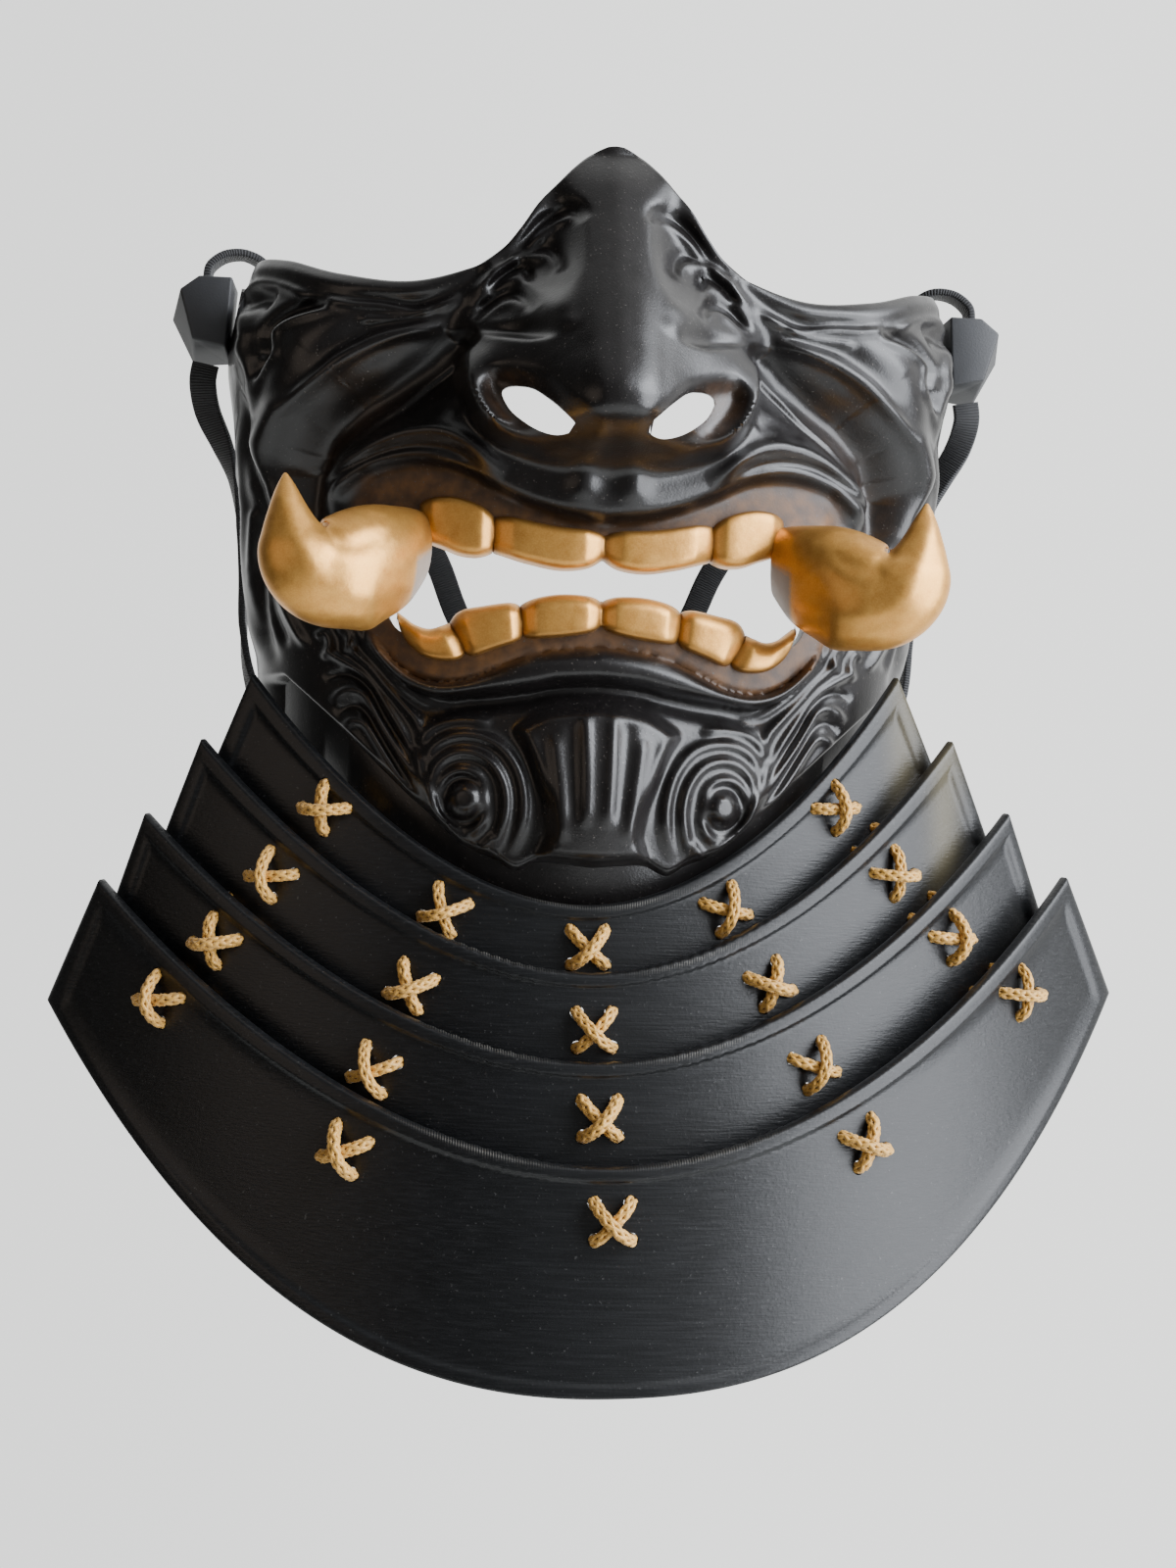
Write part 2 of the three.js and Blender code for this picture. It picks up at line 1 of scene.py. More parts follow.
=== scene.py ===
# Samurai face guard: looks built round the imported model. Blender works in metres; the pieces'
# sizes below are millimetres. The face looks along -Y, and +Z is up.
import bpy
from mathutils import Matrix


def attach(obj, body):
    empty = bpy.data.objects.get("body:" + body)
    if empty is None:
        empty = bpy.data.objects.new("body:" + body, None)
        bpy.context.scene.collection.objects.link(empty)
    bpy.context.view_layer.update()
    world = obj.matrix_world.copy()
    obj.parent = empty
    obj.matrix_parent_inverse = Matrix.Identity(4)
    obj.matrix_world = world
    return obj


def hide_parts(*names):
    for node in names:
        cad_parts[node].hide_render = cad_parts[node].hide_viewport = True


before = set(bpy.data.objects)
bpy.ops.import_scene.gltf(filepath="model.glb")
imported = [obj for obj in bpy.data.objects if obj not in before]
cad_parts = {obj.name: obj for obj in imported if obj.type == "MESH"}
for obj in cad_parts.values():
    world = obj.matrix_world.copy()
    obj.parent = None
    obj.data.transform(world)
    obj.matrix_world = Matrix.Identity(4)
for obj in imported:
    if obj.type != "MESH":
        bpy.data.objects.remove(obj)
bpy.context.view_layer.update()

import math

import bmesh
import bpy
import numpy as np
from mathutils import Matrix, Vector
from mathutils.kdtree import KDTree

mm = 0.001


def bell(t):
    return np.exp(-np.square(t))


def smooth(value, low, high):
    t = np.clip((np.asarray(value, float) - low) / (high - low), 0, 1)
    return t * t * (3 - 2 * t)


def lerp(a, b, t):
    return a + (b - a) * t


def through(pairs):
    # smooth curve through (position, value) pairs
    places = np.array([pair[0] for pair in pairs], float)
    values = np.array([pair[1] for pair in pairs], float)
    last = len(pairs) - 1
    before = np.maximum(np.arange(last + 1) - 1, 0)
    after = np.minimum(np.arange(last + 1) + 1, last)
    slopes = (values[after] - values[before]) / (places[after] - places[before])

    def curve(x):
        x = np.clip(np.asarray(x, float), places[0], places[-1])
        i = np.clip(np.searchsorted(places, x, side="right") - 1, 0, last - 1)
        span = places[i + 1] - places[i]
        t = (x - places[i]) / span
        t2, t3 = t * t, t * t * t
        ends = (2 * t3 - 3 * t2 + 1) * values[i] + (3 * t2 - 2 * t3) * values[i + 1]
        return ends + (t3 - 2 * t2 + t) * slopes[i] * span + (t3 - t2) * slopes[i + 1] * span

    return curve


def rounded(points, steps, closed=False):
    # points along a smooth line through all the given ones
    points = np.array(points, float)
    count = len(points)
    if closed:
        at = lambda i: points[i % count]
    else:
        at = lambda i: points[min(max(i, 0), count - 1)]
    made = []
    for i in range(count if closed else count - 1):
        p0, p1, p2, p3 = at(i - 1), at(i), at(i + 1), at(i + 2)
        for k in range(steps):
            t = k / steps
            bend = 2 * p1 + (p2 - p0) * t
            bend = bend + (2 * p0 - 5 * p1 + 4 * p2 - p3) * t * t
            made.append((bend + (3 * p1 - p0 - 3 * p2 + p3) * t ** 3) / 2)
    if not closed:
        made.append(points[-1])
    return np.array(made)


def nearestOnLine(line, x, z):
    # distance to a line in the front view, how far along it (0 to 1) and on which side
    distance = np.full(np.shape(x), 1e9)
    along = np.zeros(np.shape(x))
    side = np.ones(np.shape(x))
    steps = len(line) - 1
    for i in range(steps):
        (ax, az), (bx, bz) = line[i], line[i + 1]
        dx, dz = bx - ax, bz - az
        t = np.clip(((x - ax) * dx + (z - az) * dz) / (dx * dx + dz * dz), 0, 1)
        away = np.hypot(x - ax - t * dx, z - az - t * dz)
        closer = away < distance
        distance = np.where(closer, away, distance)
        along = np.where(closer, (i + t) / steps, along)
        side = np.where(closer, np.sign(dx * (z - az) - dz * (x - ax)), side)
    return distance, along, side


def insideDepth(outline, x, z):
    # how far inside a closed outline a point is; below zero outside
    ring = np.vstack([outline, outline[:1]])
    distance = nearestOnLine(ring, x, z)[0]
    inside = np.zeros(np.shape(x), bool)
    for (ax, az), (bx, bz) in zip(ring[:-1], ring[1:]):
        if az == bz:
            continue
        crosses = (az > z) != (bz > z)
        inside ^= crosses & (x < (bx - ax) * (z - az) / (bz - az) + ax)
    return np.where(inside, distance, -distance)


def insideCurve(points, x, z, steps=4):
    # the same for a smooth curve through the points
    return insideDepth(rounded(points, steps, closed=True), x, z)


def linked(name, data):
    thing = bpy.data.objects.new(name, data)
    bpy.context.scene.collection.objects.link(thing)
    return thing


def meshObject(name, vertices, faces, material, sharpAngle=60):
    mesh = bpy.data.meshes.new(name)
    mesh.from_pydata((np.asarray(vertices, float) * mm).tolist(), [], faces)
    mesh.update()
    mesh.shade_smooth()
    mesh.set_sharp_from_angle(angle=math.radians(sharpAngle))
    if material:
        mesh.materials.append(material)
    return linked(name, mesh)


def tubeFaces(stations, sides, turned=False):
    # quads and end caps of a tube whose rings of vertices follow each other
    faces = []
    for i in range(stations - 1):
        for k in range(sides):
            a, b = i * sides + k, i * sides + (k + 1) % sides
            faces.append((a, b, b + sides, a + sides))
    end = (stations - 1) * sides
    faces.append(tuple(range(sides))[::-1])
    faces.append(tuple(end + k for k in range(sides)))
    return [face[:1] + face[:0:-1] for face in faces] if turned else faces


def addAttribute(piece, name, values):
    attribute = piece.data.attributes.new(name, "FLOAT", "POINT")
    attribute.data.foreach_set("value", np.asarray(values, np.float32))


def bakeModifiers(piece):
    # the modified mesh as plain mesh, with no modifier left
    graph = bpy.context.evaluated_depsgraph_get()
    mesh = bpy.data.meshes.new_from_object(piece.evaluated_get(graph))
    mesh.name = piece.name
    piece.modifiers.clear()
    piece.data = mesh


def placeInFrame(piece, node):
    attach(piece, "root")
    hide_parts(node)


def linear(hexColour):
    # sRGB hex to linear RGBA
    parts = [int(hexColour[i:i + 2], 16) / 255 for i in (1, 3, 5)]
    return (*[c / 12.92 if c < 0.04045 else ((c + 0.055) / 1.055) ** 2.4 for c in parts], 1)


def setInputs(tree, node, inputs):
    # an input takes a node's first output, a given output, an sRGB hex colour or a plain value
    for socket, value in inputs.items():
        if isinstance(value, bpy.types.Node):
            value = value.outputs[0]
        if isinstance(value, bpy.types.NodeSocket):
            tree.links.new(value, node.inputs[socket])
        else:
            node.inputs[socket].default_value = linear(value) if isinstance(value, str) else value


def addNode(tree, kind, inputs=None, stops=None, **settings):
    # stops are a ramp's (place, hex colour or grey)
    node = tree.nodes.new(kind)
    for name, value in settings.items():
        setattr(node, name, value)
    setInputs(tree, node, inputs or {})
    if stops:
        elements = node.color_ramp.elements
        while len(elements) < len(stops):
            elements.new(0.5)
        for element, (place, colour) in zip(elements, stops):
            element.position = place
            element.color = linear(colour) if isinstance(colour, str) else (colour,) * 3 + (1,)
    return node


def newMaterial(name):
    material = bpy.data.materials.new(name)
    material.use_nodes = True
    tree = material.node_tree
    tree.nodes.clear()
    shader = addNode(tree, "ShaderNodeBsdfPrincipled")
    addNode(tree, "ShaderNodeOutputMaterial", {"Surface": shader})
    return material, tree, shader


def paintOver(tree, base, *coats):
    # colours laid one over the other, each as strong as its factor
    for factor, colour in coats:
        base = addNode(tree, "ShaderNodeMix", {0: factor, 6: base, 7: colour}, data_type="RGBA").outputs[2]
    return base


def noiseAt(tree, grain, detail, stretch=(1, 1, 1)):
    # noise on object coordinates whose grain is about so many millimetres
    place = addNode(tree, "ShaderNodeTexCoord").outputs["Object"]
    mapping = addNode(tree, "ShaderNodeMapping", {"Vector": place, "Scale": stretch})
    return addNode(tree, "ShaderNodeTexNoise",
                   {"Vector": mapping, "Scale": 1 / (grain * mm), "Detail": detail}).outputs["Fac"]


cameraPlace = {
    "target": (-0.0015, -0.060, -0.053),  # metres
    "distance": 0.450,  # metres
    "azimuth": -4.5,  # degrees round the object, to the -X side
    "roll": 2.1,  # degrees; the object's top leans right
    "lens": 46.6,
}


def makeCamera(place):
    azimuth, roll = math.radians(place["azimuth"]), math.radians(place["roll"])
    back = Vector((math.sin(azimuth), -math.cos(azimuth), 0))
    level = Vector((-back.y, back.x, 0))
    right = level * math.cos(roll) + Vector((0, 0, math.sin(roll)))
    up = Vector((0, 0, math.cos(roll))) - level * math.sin(roll)
    data = bpy.data.cameras.new("camera")
    data.lens = place["lens"]
    camera = linked("camera", data)
    turn = Matrix((right, up, back)).transposed().to_4x4()
    camera.matrix_world = Matrix.Translation(Vector(place["target"]) + back * place["distance"]) @ turn
    bpy.context.scene.camera = camera


makeCamera(cameraPlace)
print("camera placed")


def wovenElastic():
    # black polyester elastic, woven with crosswise ribs: dull, with a faint sheen on the ribs
    material, tree, shader = newMaterial("wovenElastic")
    place = addNode(tree, "ShaderNodeUVMap", uv_map="strap")
    wave = addNode(tree, "ShaderNodeTexWave", {"Vector": place, "Scale": 0.5, "Distortion": 0.4},
                   wave_type="BANDS", bands_direction="Y", wave_profile="SIN").outputs["Fac"]
    colour = addNode(tree, "ShaderNodeValToRGB", {"Fac": wave}, [(0.2, "#08080a"), (1.0, "#1d1d20")])
    bump = addNode(tree, "ShaderNodeBump", {"Height": wave, "Strength": 0.7, "Distance": 0.25 * mm})
    setInputs(tree, shader, {"Base Color": colour, "Roughness": 0.72, "Sheen Weight": 0.25, "Normal": bump})
    return material


def blackLacquer():
    # gloss black lacquer, sprayed and brushed over resin: deep shine, a little orange peel and
    # dust, and brown-gold dry brushing that stays in the hollows
    material, tree, shader = newMaterial("blackLacquer")
    hollow = addNode(tree, "ShaderNodeAttribute", attribute_name="hollow").outputs["Fac"]
    mottle = noiseAt(tree, 3.2, 4)
    speck = noiseAt(tree, 0.55, 1)
    black = paintOver(tree, "#0b0a0a", (mottle, "#161313"))
    brown = paintOver(tree, "#2e1d10", (mottle, "#6e4a24"))
    patches = addNode(tree, "ShaderNodeValToRGB", {"Fac": mottle}, [(0.3, 0.55), (0.7, 1.0)])
    patchy = addNode(tree, "ShaderNodeMath", {0: hollow, 1: patches}, operation="MULTIPLY")
    dust = addNode(tree, "ShaderNodeValToRGB", {"Fac": speck}, [(0.0, 0.0), (0.70, 0.0), (0.76, 1.0)])
    colour = paintOver(tree, black, (patchy, brown), (dust, "#4b4744"))
    shiny = addNode(tree, "ShaderNodeMapRange", {"Value": mottle, "To Min": 0.24, "To Max": 0.36})
    rough = addNode(tree, "ShaderNodeMix", data_type="FLOAT")
    setInputs(tree, rough, {0: hollow, 2: shiny, 3: 0.52})
    height = addNode(tree, "ShaderNodeMath", {0: speck, 1: mottle}, operation="ADD")
    bump = addNode(tree, "ShaderNodeBump", {"Height": height, "Strength": 0.22, "Distance": 0.14 * mm})
    setInputs(tree, shader, {"Base Color": colour, "Roughness": rough, "IOR": 1.5, "Normal": bump})
    return material


def goldPaint():
    # metallic acrylic gold, brushed on: soft metal shine, painted shade in dark brown at the seams, by the
    # gums and on the tusks' backs, and bare grey resin where the brush didn't reach; the flakes are drawn
    # coarser than real ones
    material, tree, shader = newMaterial("goldPaint")
    paintedShade = addNode(tree, "ShaderNodeAttribute", attribute_name="paintedShade").outputs["Fac"]
    bare = addNode(tree, "ShaderNodeAttribute", attribute_name="bare").outputs["Fac"]
    metal = addNode(tree, "ShaderNodeMapRange", {"Value": bare, "To Min": 0.72, "To Max": 0.0})
    mottle = noiseAt(tree, 2.4, 5)
    flake = noiseAt(tree, 0.35, 2)
    flakes = addNode(tree, "ShaderNodeValToRGB", {"Fac": flake}, [(0.35, 0.0), (0.75, 0.35)])
    patches = addNode(tree, "ShaderNodeValToRGB", {"Fac": mottle}, [(0.2, 0.6), (0.8, 1.0)])
    # painted shade: darker brown in the seams, by the gums and on the tusks' backs
    edge = addNode(tree, "ShaderNodeMath", {0: paintedShade, 1: patches}, operation="MULTIPLY")
    colour = paintOver(tree, "#b97b35", (mottle, "#daa555"), (flakes, "#e9b969"), (edge, "#5b3b1c"),
                       (bare, "#8a7a6c"))
    rough = addNode(tree, "ShaderNodeMapRange", {"Value": mottle, "To Min": 0.30, "To Max": 0.44})
    bump = addNode(tree, "ShaderNodeBump", {"Height": mottle, "Strength": 0.25, "Distance": 0.35 * mm})
    fine = addNode(tree, "ShaderNodeBump",
                   {"Height": flake, "Strength": 0.15, "Distance": 0.08 * mm, "Normal": bump})
    setInputs(tree, shader, {"Base Color": colour, "Metallic": metal, "Roughness": rough, "Normal": fine})
    return material


def sandedPlastic():
    # black PLA, printed and sanded along the plate: satin, with fine lengthwise streaks, and painted
    # highlights on the printed steps along the top edges, drawn coarser than real layers
    material, tree, shader = newMaterial("sandedPlastic")
    tanPatch = addNode(tree, "ShaderNodeAttribute", attribute_name="tanPatch").outputs["Fac"]
    stepGlints = addNode(tree, "ShaderNodeAttribute", attribute_name="stepGlints").outputs["Fac"]
    streak = noiseAt(tree, 0.45, 3, stretch=(0.03, 0.4, 1))
    grain = noiseAt(tree, 0.7, 2)
    cloud = noiseAt(tree, 16, 3)
    streaks = addNode(tree, "ShaderNodeValToRGB", {"Fac": streak}, [(0.45, 0.0), (0.8, 0.5)])
    grains = addNode(tree, "ShaderNodeValToRGB", {"Fac": grain}, [(0.0, 0.0), (0.68, 0.0), (0.74, 0.8)])
    place = addNode(tree, "ShaderNodeTexCoord").outputs["Object"]
    # a wave's period is 0.314 over its scale
    wave = addNode(tree, "ShaderNodeTexWave", {"Vector": place, "Scale": 0.314 / (0.55 * mm)},
                   bands_direction="X").outputs["Fac"]
    # painted highlights on the printed steps, in ticks along the top edge
    teethOfComb = addNode(tree, "ShaderNodeValToRGB", {"Fac": wave}, [(0.6, 0.0), (0.8, 1.0)])
    glintMask = addNode(tree, "ShaderNodeMath", {0: stepGlints, 1: teethOfComb}, operation="MULTIPLY")
    # the last two coats: a paler tan patch, and painted highlights on the printed steps
    colour = paintOver(tree, "#08090a", (cloud, "#111214"), (streaks, "#1e1f21"), (grains, "#3a3a3a"),
                       (tanPatch, "#8a7f5e"), (glintMask, "#9a968e"))
    rough = addNode(tree, "ShaderNodeMapRange", {"Value": streak, "To Min": 0.28, "To Max": 0.44})
    scratched = addNode(tree, "ShaderNodeBump", {"Height": streak, "Strength": 0.5, "Distance": 0.14 * mm})
    bump = addNode(tree, "ShaderNodeBump",
                   {"Height": grain, "Strength": 0.3, "Distance": 0.12 * mm, "Normal": scratched})
    setInputs(tree, shader, {"Base Color": colour, "Roughness": rough, "IOR": 1.42, "Normal": bump})
    return material


def braidedCord():
    # gold polyester cord, braided: fibrous, with a soft satin shine; its fibres are drawn
    # coarser than real ones
    material, tree, shader = newMaterial("braidedCord")
    fibre = noiseAt(tree, 0.30, 3)
    colour = paintOver(tree, "#9a6a20", (fibre, "#eab85a"))
    bump = addNode(tree, "ShaderNodeBump", {"Height": fibre, "Strength": 0.4, "Distance": 0.1 * mm})
    setInputs(tree, shader, {"Base Color": colour, "Roughness": 0.42, "Sheen Weight": 0.2, "Normal": bump})
    return material


def cordCoreShade():
    # painted shade: the same yarn deep between the strands, drawn dark brown and dull
    material, tree, shader = newMaterial("cordCoreShade")
    setInputs(tree, shader, {"Base Color": "#4a3016", "Roughness": 0.85})
    return material


def mouldedPlastic():
    # dark grey moulded plastic: matt, finely grained
    material, tree, shader = newMaterial("mouldedPlastic")
    grain = noiseAt(tree, 0.5, 3)
    colour = paintOver(tree, "#1d1e20", (noiseAt(tree, 7, 2), "#2d2e31"))
    bump = addNode(tree, "ShaderNodeBump", {"Height": grain, "Strength": 0.3, "Distance": 0.12 * mm})
    setInputs(tree, shader, {"Base Color": colour, "Roughness": 0.55, "Normal": bump})
    return material


def backdropPaper(colour):
    # smooth pale backdrop paper: matt and even
    material, tree, shader = newMaterial("backdropPaper")
    setInputs(tree, shader, {"Base Color": colour, "Roughness": 0.95})
    return material


lacquer = blackLacquer()
gold = goldPaint()
satin = sandedPlastic()
cordYarn = braidedCord()
coreShade = cordCoreShade()
blockGrey = mouldedPlastic()
elastic = wovenElastic()
print("materials made")


# Elastic straps.
strap = {
    "width": 6.5,
    "thickness": 1.8,
    "corner": 0.5,
    "steps": 5,  # sections from one given place to the next
}

# Right halves, from the block to the middle; the fourth value turns the flat side, 0 sideways
# and 1 forward.
headStrapRoute = [
    (95.2, -4, 67.2, 0), (94.6, -3.7, 70.5, 0), (91, -2.5, 73.6, 0), (86, -1, 74.3, 0),
    (81.5, 2, 72, 0.1), (77, 6, 65, 0.3), (71, 11, 54.5, 0.6), (62.5, 18, 41, 0.9),
    (53, 24, 28, 1), (44, 28, 16, 1), (36.5, 30, 4, 1), (31.5, 31, -8, 1), (25, 32, -20, 1),
    (16.5, 33, -30, 1), (6, 33.5, -35.5, 1),
]
neckStrapRoute = [
    (95, -4, 46.6, 1), (95.6, -3.4, 42, 1), (94.5, 0, 35.5, 0.8), (91, 3, 28, 0.5),
    (88, 5, 20, 0.2), (86, 6, 8, 0), (85, 6, -4, 0), (84.5, 5.5, -16, 0), (82.5, 5.5, -29, 0.2),
    (77, 7, -42, 0.5), (69, 9, -55, 0.8), (57, 12, -69, 1), (43, 14.5, -80.5, 1),
    (27, 16.5, -88.5, 1), (9, 17.5, -92.5, 1),
]


def strapSection():
    # outline of the band across its width, with rounded corners
    halfWidth, halfThick = strap["width"] / 2, strap["thickness"] / 2
    corner = strap["corner"]
    outline = []
    for cx, cy, start in ((1, 1, 0), (-1, 1, 90), (-1, -1, 180), (1, -1, 270)):
        for turn in (0, 30, 60, 90):
            angle = math.radians(start + turn)
            outline.append((cx * (halfWidth - corner) + corner * math.cos(angle),
                            cy * (halfThick - corner) + corner * math.sin(angle)))
    return outline


def flatStrap(name, half):
    stations = list(half) + [(-x, y, z, turn) for x, y, z, turn in reversed(half)]
    turns = np.array([station[3] * np.sign(station[0]) for station in stations])
    places = rounded([station[:3] for station in stations], strap["steps"])
    turns = np.interp(np.linspace(0, len(turns) - 1, len(places)), range(len(turns)), turns)
    section = strapSection()
    vertices, coords = [], []
    run = 0
    for i, place in enumerate(places):
        along = places[min(i + 1, len(places) - 1)] - places[max(i - 1, 0)]
        along /= np.linalg.norm(along)
        if i:
            run += np.linalg.norm(place - places[i - 1])
        forward = np.array([0, -1.0, 0]) + along * along[1]
        forward /= np.linalg.norm(forward)
        sideways = np.cross(forward, along)
        angle = math.pi / 2 * turns[i]
        broad = forward * math.cos(angle) + sideways * math.sin(angle)
        thin = np.cross(broad, along)
        for b, t in section:
            vertices.append(place + broad * b + thin * t)
            coords.append((b, run))
    piece = meshObject(name, vertices, tubeFaces(len(places), len(section)), elastic)
    layer = piece.data.uv_layers.new(name="strap")
    for loop in piece.data.loops:
        layer.data[loop.index].uv = coords[loop.vertex_index]
    return piece, places * mm, run * mm


for name, node, route in (("headStrap", "head_strap", headStrapRoute),
                          ("neckStrap", "neck_strap", neckStrapRoute)):
    piece, centreline, length = flatStrap(name, route)
    placeInFrame(piece, node)
print("straps made")


shell = {
    "rearHalfWidth": 87,
    "jawNarrowing": 8,  # taken off the half width at the jaw
    "depth": 60,
    "wall": 3,
    "thickestWall": 6,  # front to back, where the form is steep
    "halfRun": 137,  # along the shell from its middle to its rear edge
    "columns": 290,
    "rows": 262,
    "backDetail": 0.12,  # share of the back's triangles that is kept
    "nostrilShift": 1.3,  # both openings sit this much towards -X
}

topEdge = through([
    (0, 89.8), (2.2, 89.5), (6.5, 87), (12, 81), (17, 75.5), (21, 69.5), (25, 64.8), (32, 60.5), (48, 57.5),
    (66, 60), (86, 65.5), (104, 67), (112, 62), (121, 59.5), (129, 61), (137, 66.5)])
bottomEdge = through([
    (0, -86), (20, -84), (40, -78), (55, -70), (70, -61), (85, -53), (100, -48), (137, -45)])
noseHeight = through([
    (-10, 0), (8, 2), (14.5, 5.5), (18, 14), (20.5, 27), (23.5, 34.8), (29, 36.2), (40, 30), (50, 23.5),
    (60, 16.5), (71, 9), (80, 3), (88, -4)])
noseHalfWidth = through([(10, 13), (22, 16), (30, 18), (40, 17), (50, 15.5), (71, 12.5)])
upperLip = through([
    (0, 5), (7, 5.6), (12.7, 6.9), (19, 9), (25.7, 12), (30, 14.3), (34.4, 15.9), (43, 16.8),
    (51.3, 15.3), (54.5, 13.4), (58, 10.8), (62, 8.6), (66, 5.8)])
lowerGum = through([
    (0, -23.4), (6, -24), (12, -24.9), (18, -26.7), (23.5, -29.1), (29, -31.3), (35, -32),
    (40, -31.1), (44.5, -29), (49, -25), (52.5, -20)])
lipFoot = through([
    (0, -30.3), (9, -30.9), (15, -32.2), (21, -33.2), (28.5, -34.1), (34, -34.8), (38.3, -34.1),
    (42, -32.1), (45.7, -28.5), (50.4, -22.4)])
jawLine = through([
    (0, -70.4), (11.6, -69.7), (17, -71.9), (21.2, -69.6), (28, -66.9), (31.7, -64), (36.2, -59.9),
    (41, -56), (56, -43), (72, -30)])
noseFront = [(-20, 104), (11, 104), (9.5, 88), (7.6, 78), (6.4, 70), (6.2, 60), (7, 54),
             (8.3, 49.3), (10.4, 45), (13.4, 42.2), (18, 42), (23.5, 44.4), (28, 46.4), (30.6, 46.2),
             (31.9, 43.7), (32.4, 39.3), (32.1, 34.6), (31, 30.2), (28.3, 25), (24.5, 21.6), (20, 19.6),
             (14, 17.6), (8, 16.6), (0, 15), (-20, 15)]
nostrilBowl = [(25, 24), (28.2, 28.6), (28.6, 32.4), (26, 35), (20.6, 33.9), (15.4, 31.6),
               (11.3, 27.5), (6.5, 23.2), (4.5, 20.5), (8, 18.6), (14, 18.4), (20, 20.2)]
nostril = [(22.8, 30.3), (20.6, 31.2), (16.5, 30.2), (13, 27.3), (9.4, 23.8), (7.4, 21.7),
           (8.8, 20.6), (12.1, 20.5), (16.3, 22), (20.1, 24.9), (22.1, 27.7)]
chinBoss = [(-20, -36), (0, -35.4), (8.7, -36.4), (13.4, -37.9), (18.6, -41.6), (16, -46.5), (13.8, -52),
            (11.2, -58), (10.3, -63), (11.6, -67), (11.6, -70), (0, -71), (-20, -71)]
mouthHalf = [(0, -1), (8, -1.5), (23, 0.5), (38, 2), (45, 0), (48, -8), (47, -17), (42, -21.5),
             (33, -21.5), (17, -16.5), (6, -14.5), (0, -14.5)]
deepGroove = [(32.7, 43.8), (38.9, 38), (46.4, 32.5), (54, 27.8), (61.5, 22.5), (67, 16), (68, 8)]
cheekTongue = [(52, 47), (62, 39.5), (70, 31), (74.5, 23), (75, 15.5), (72.5, 9)]

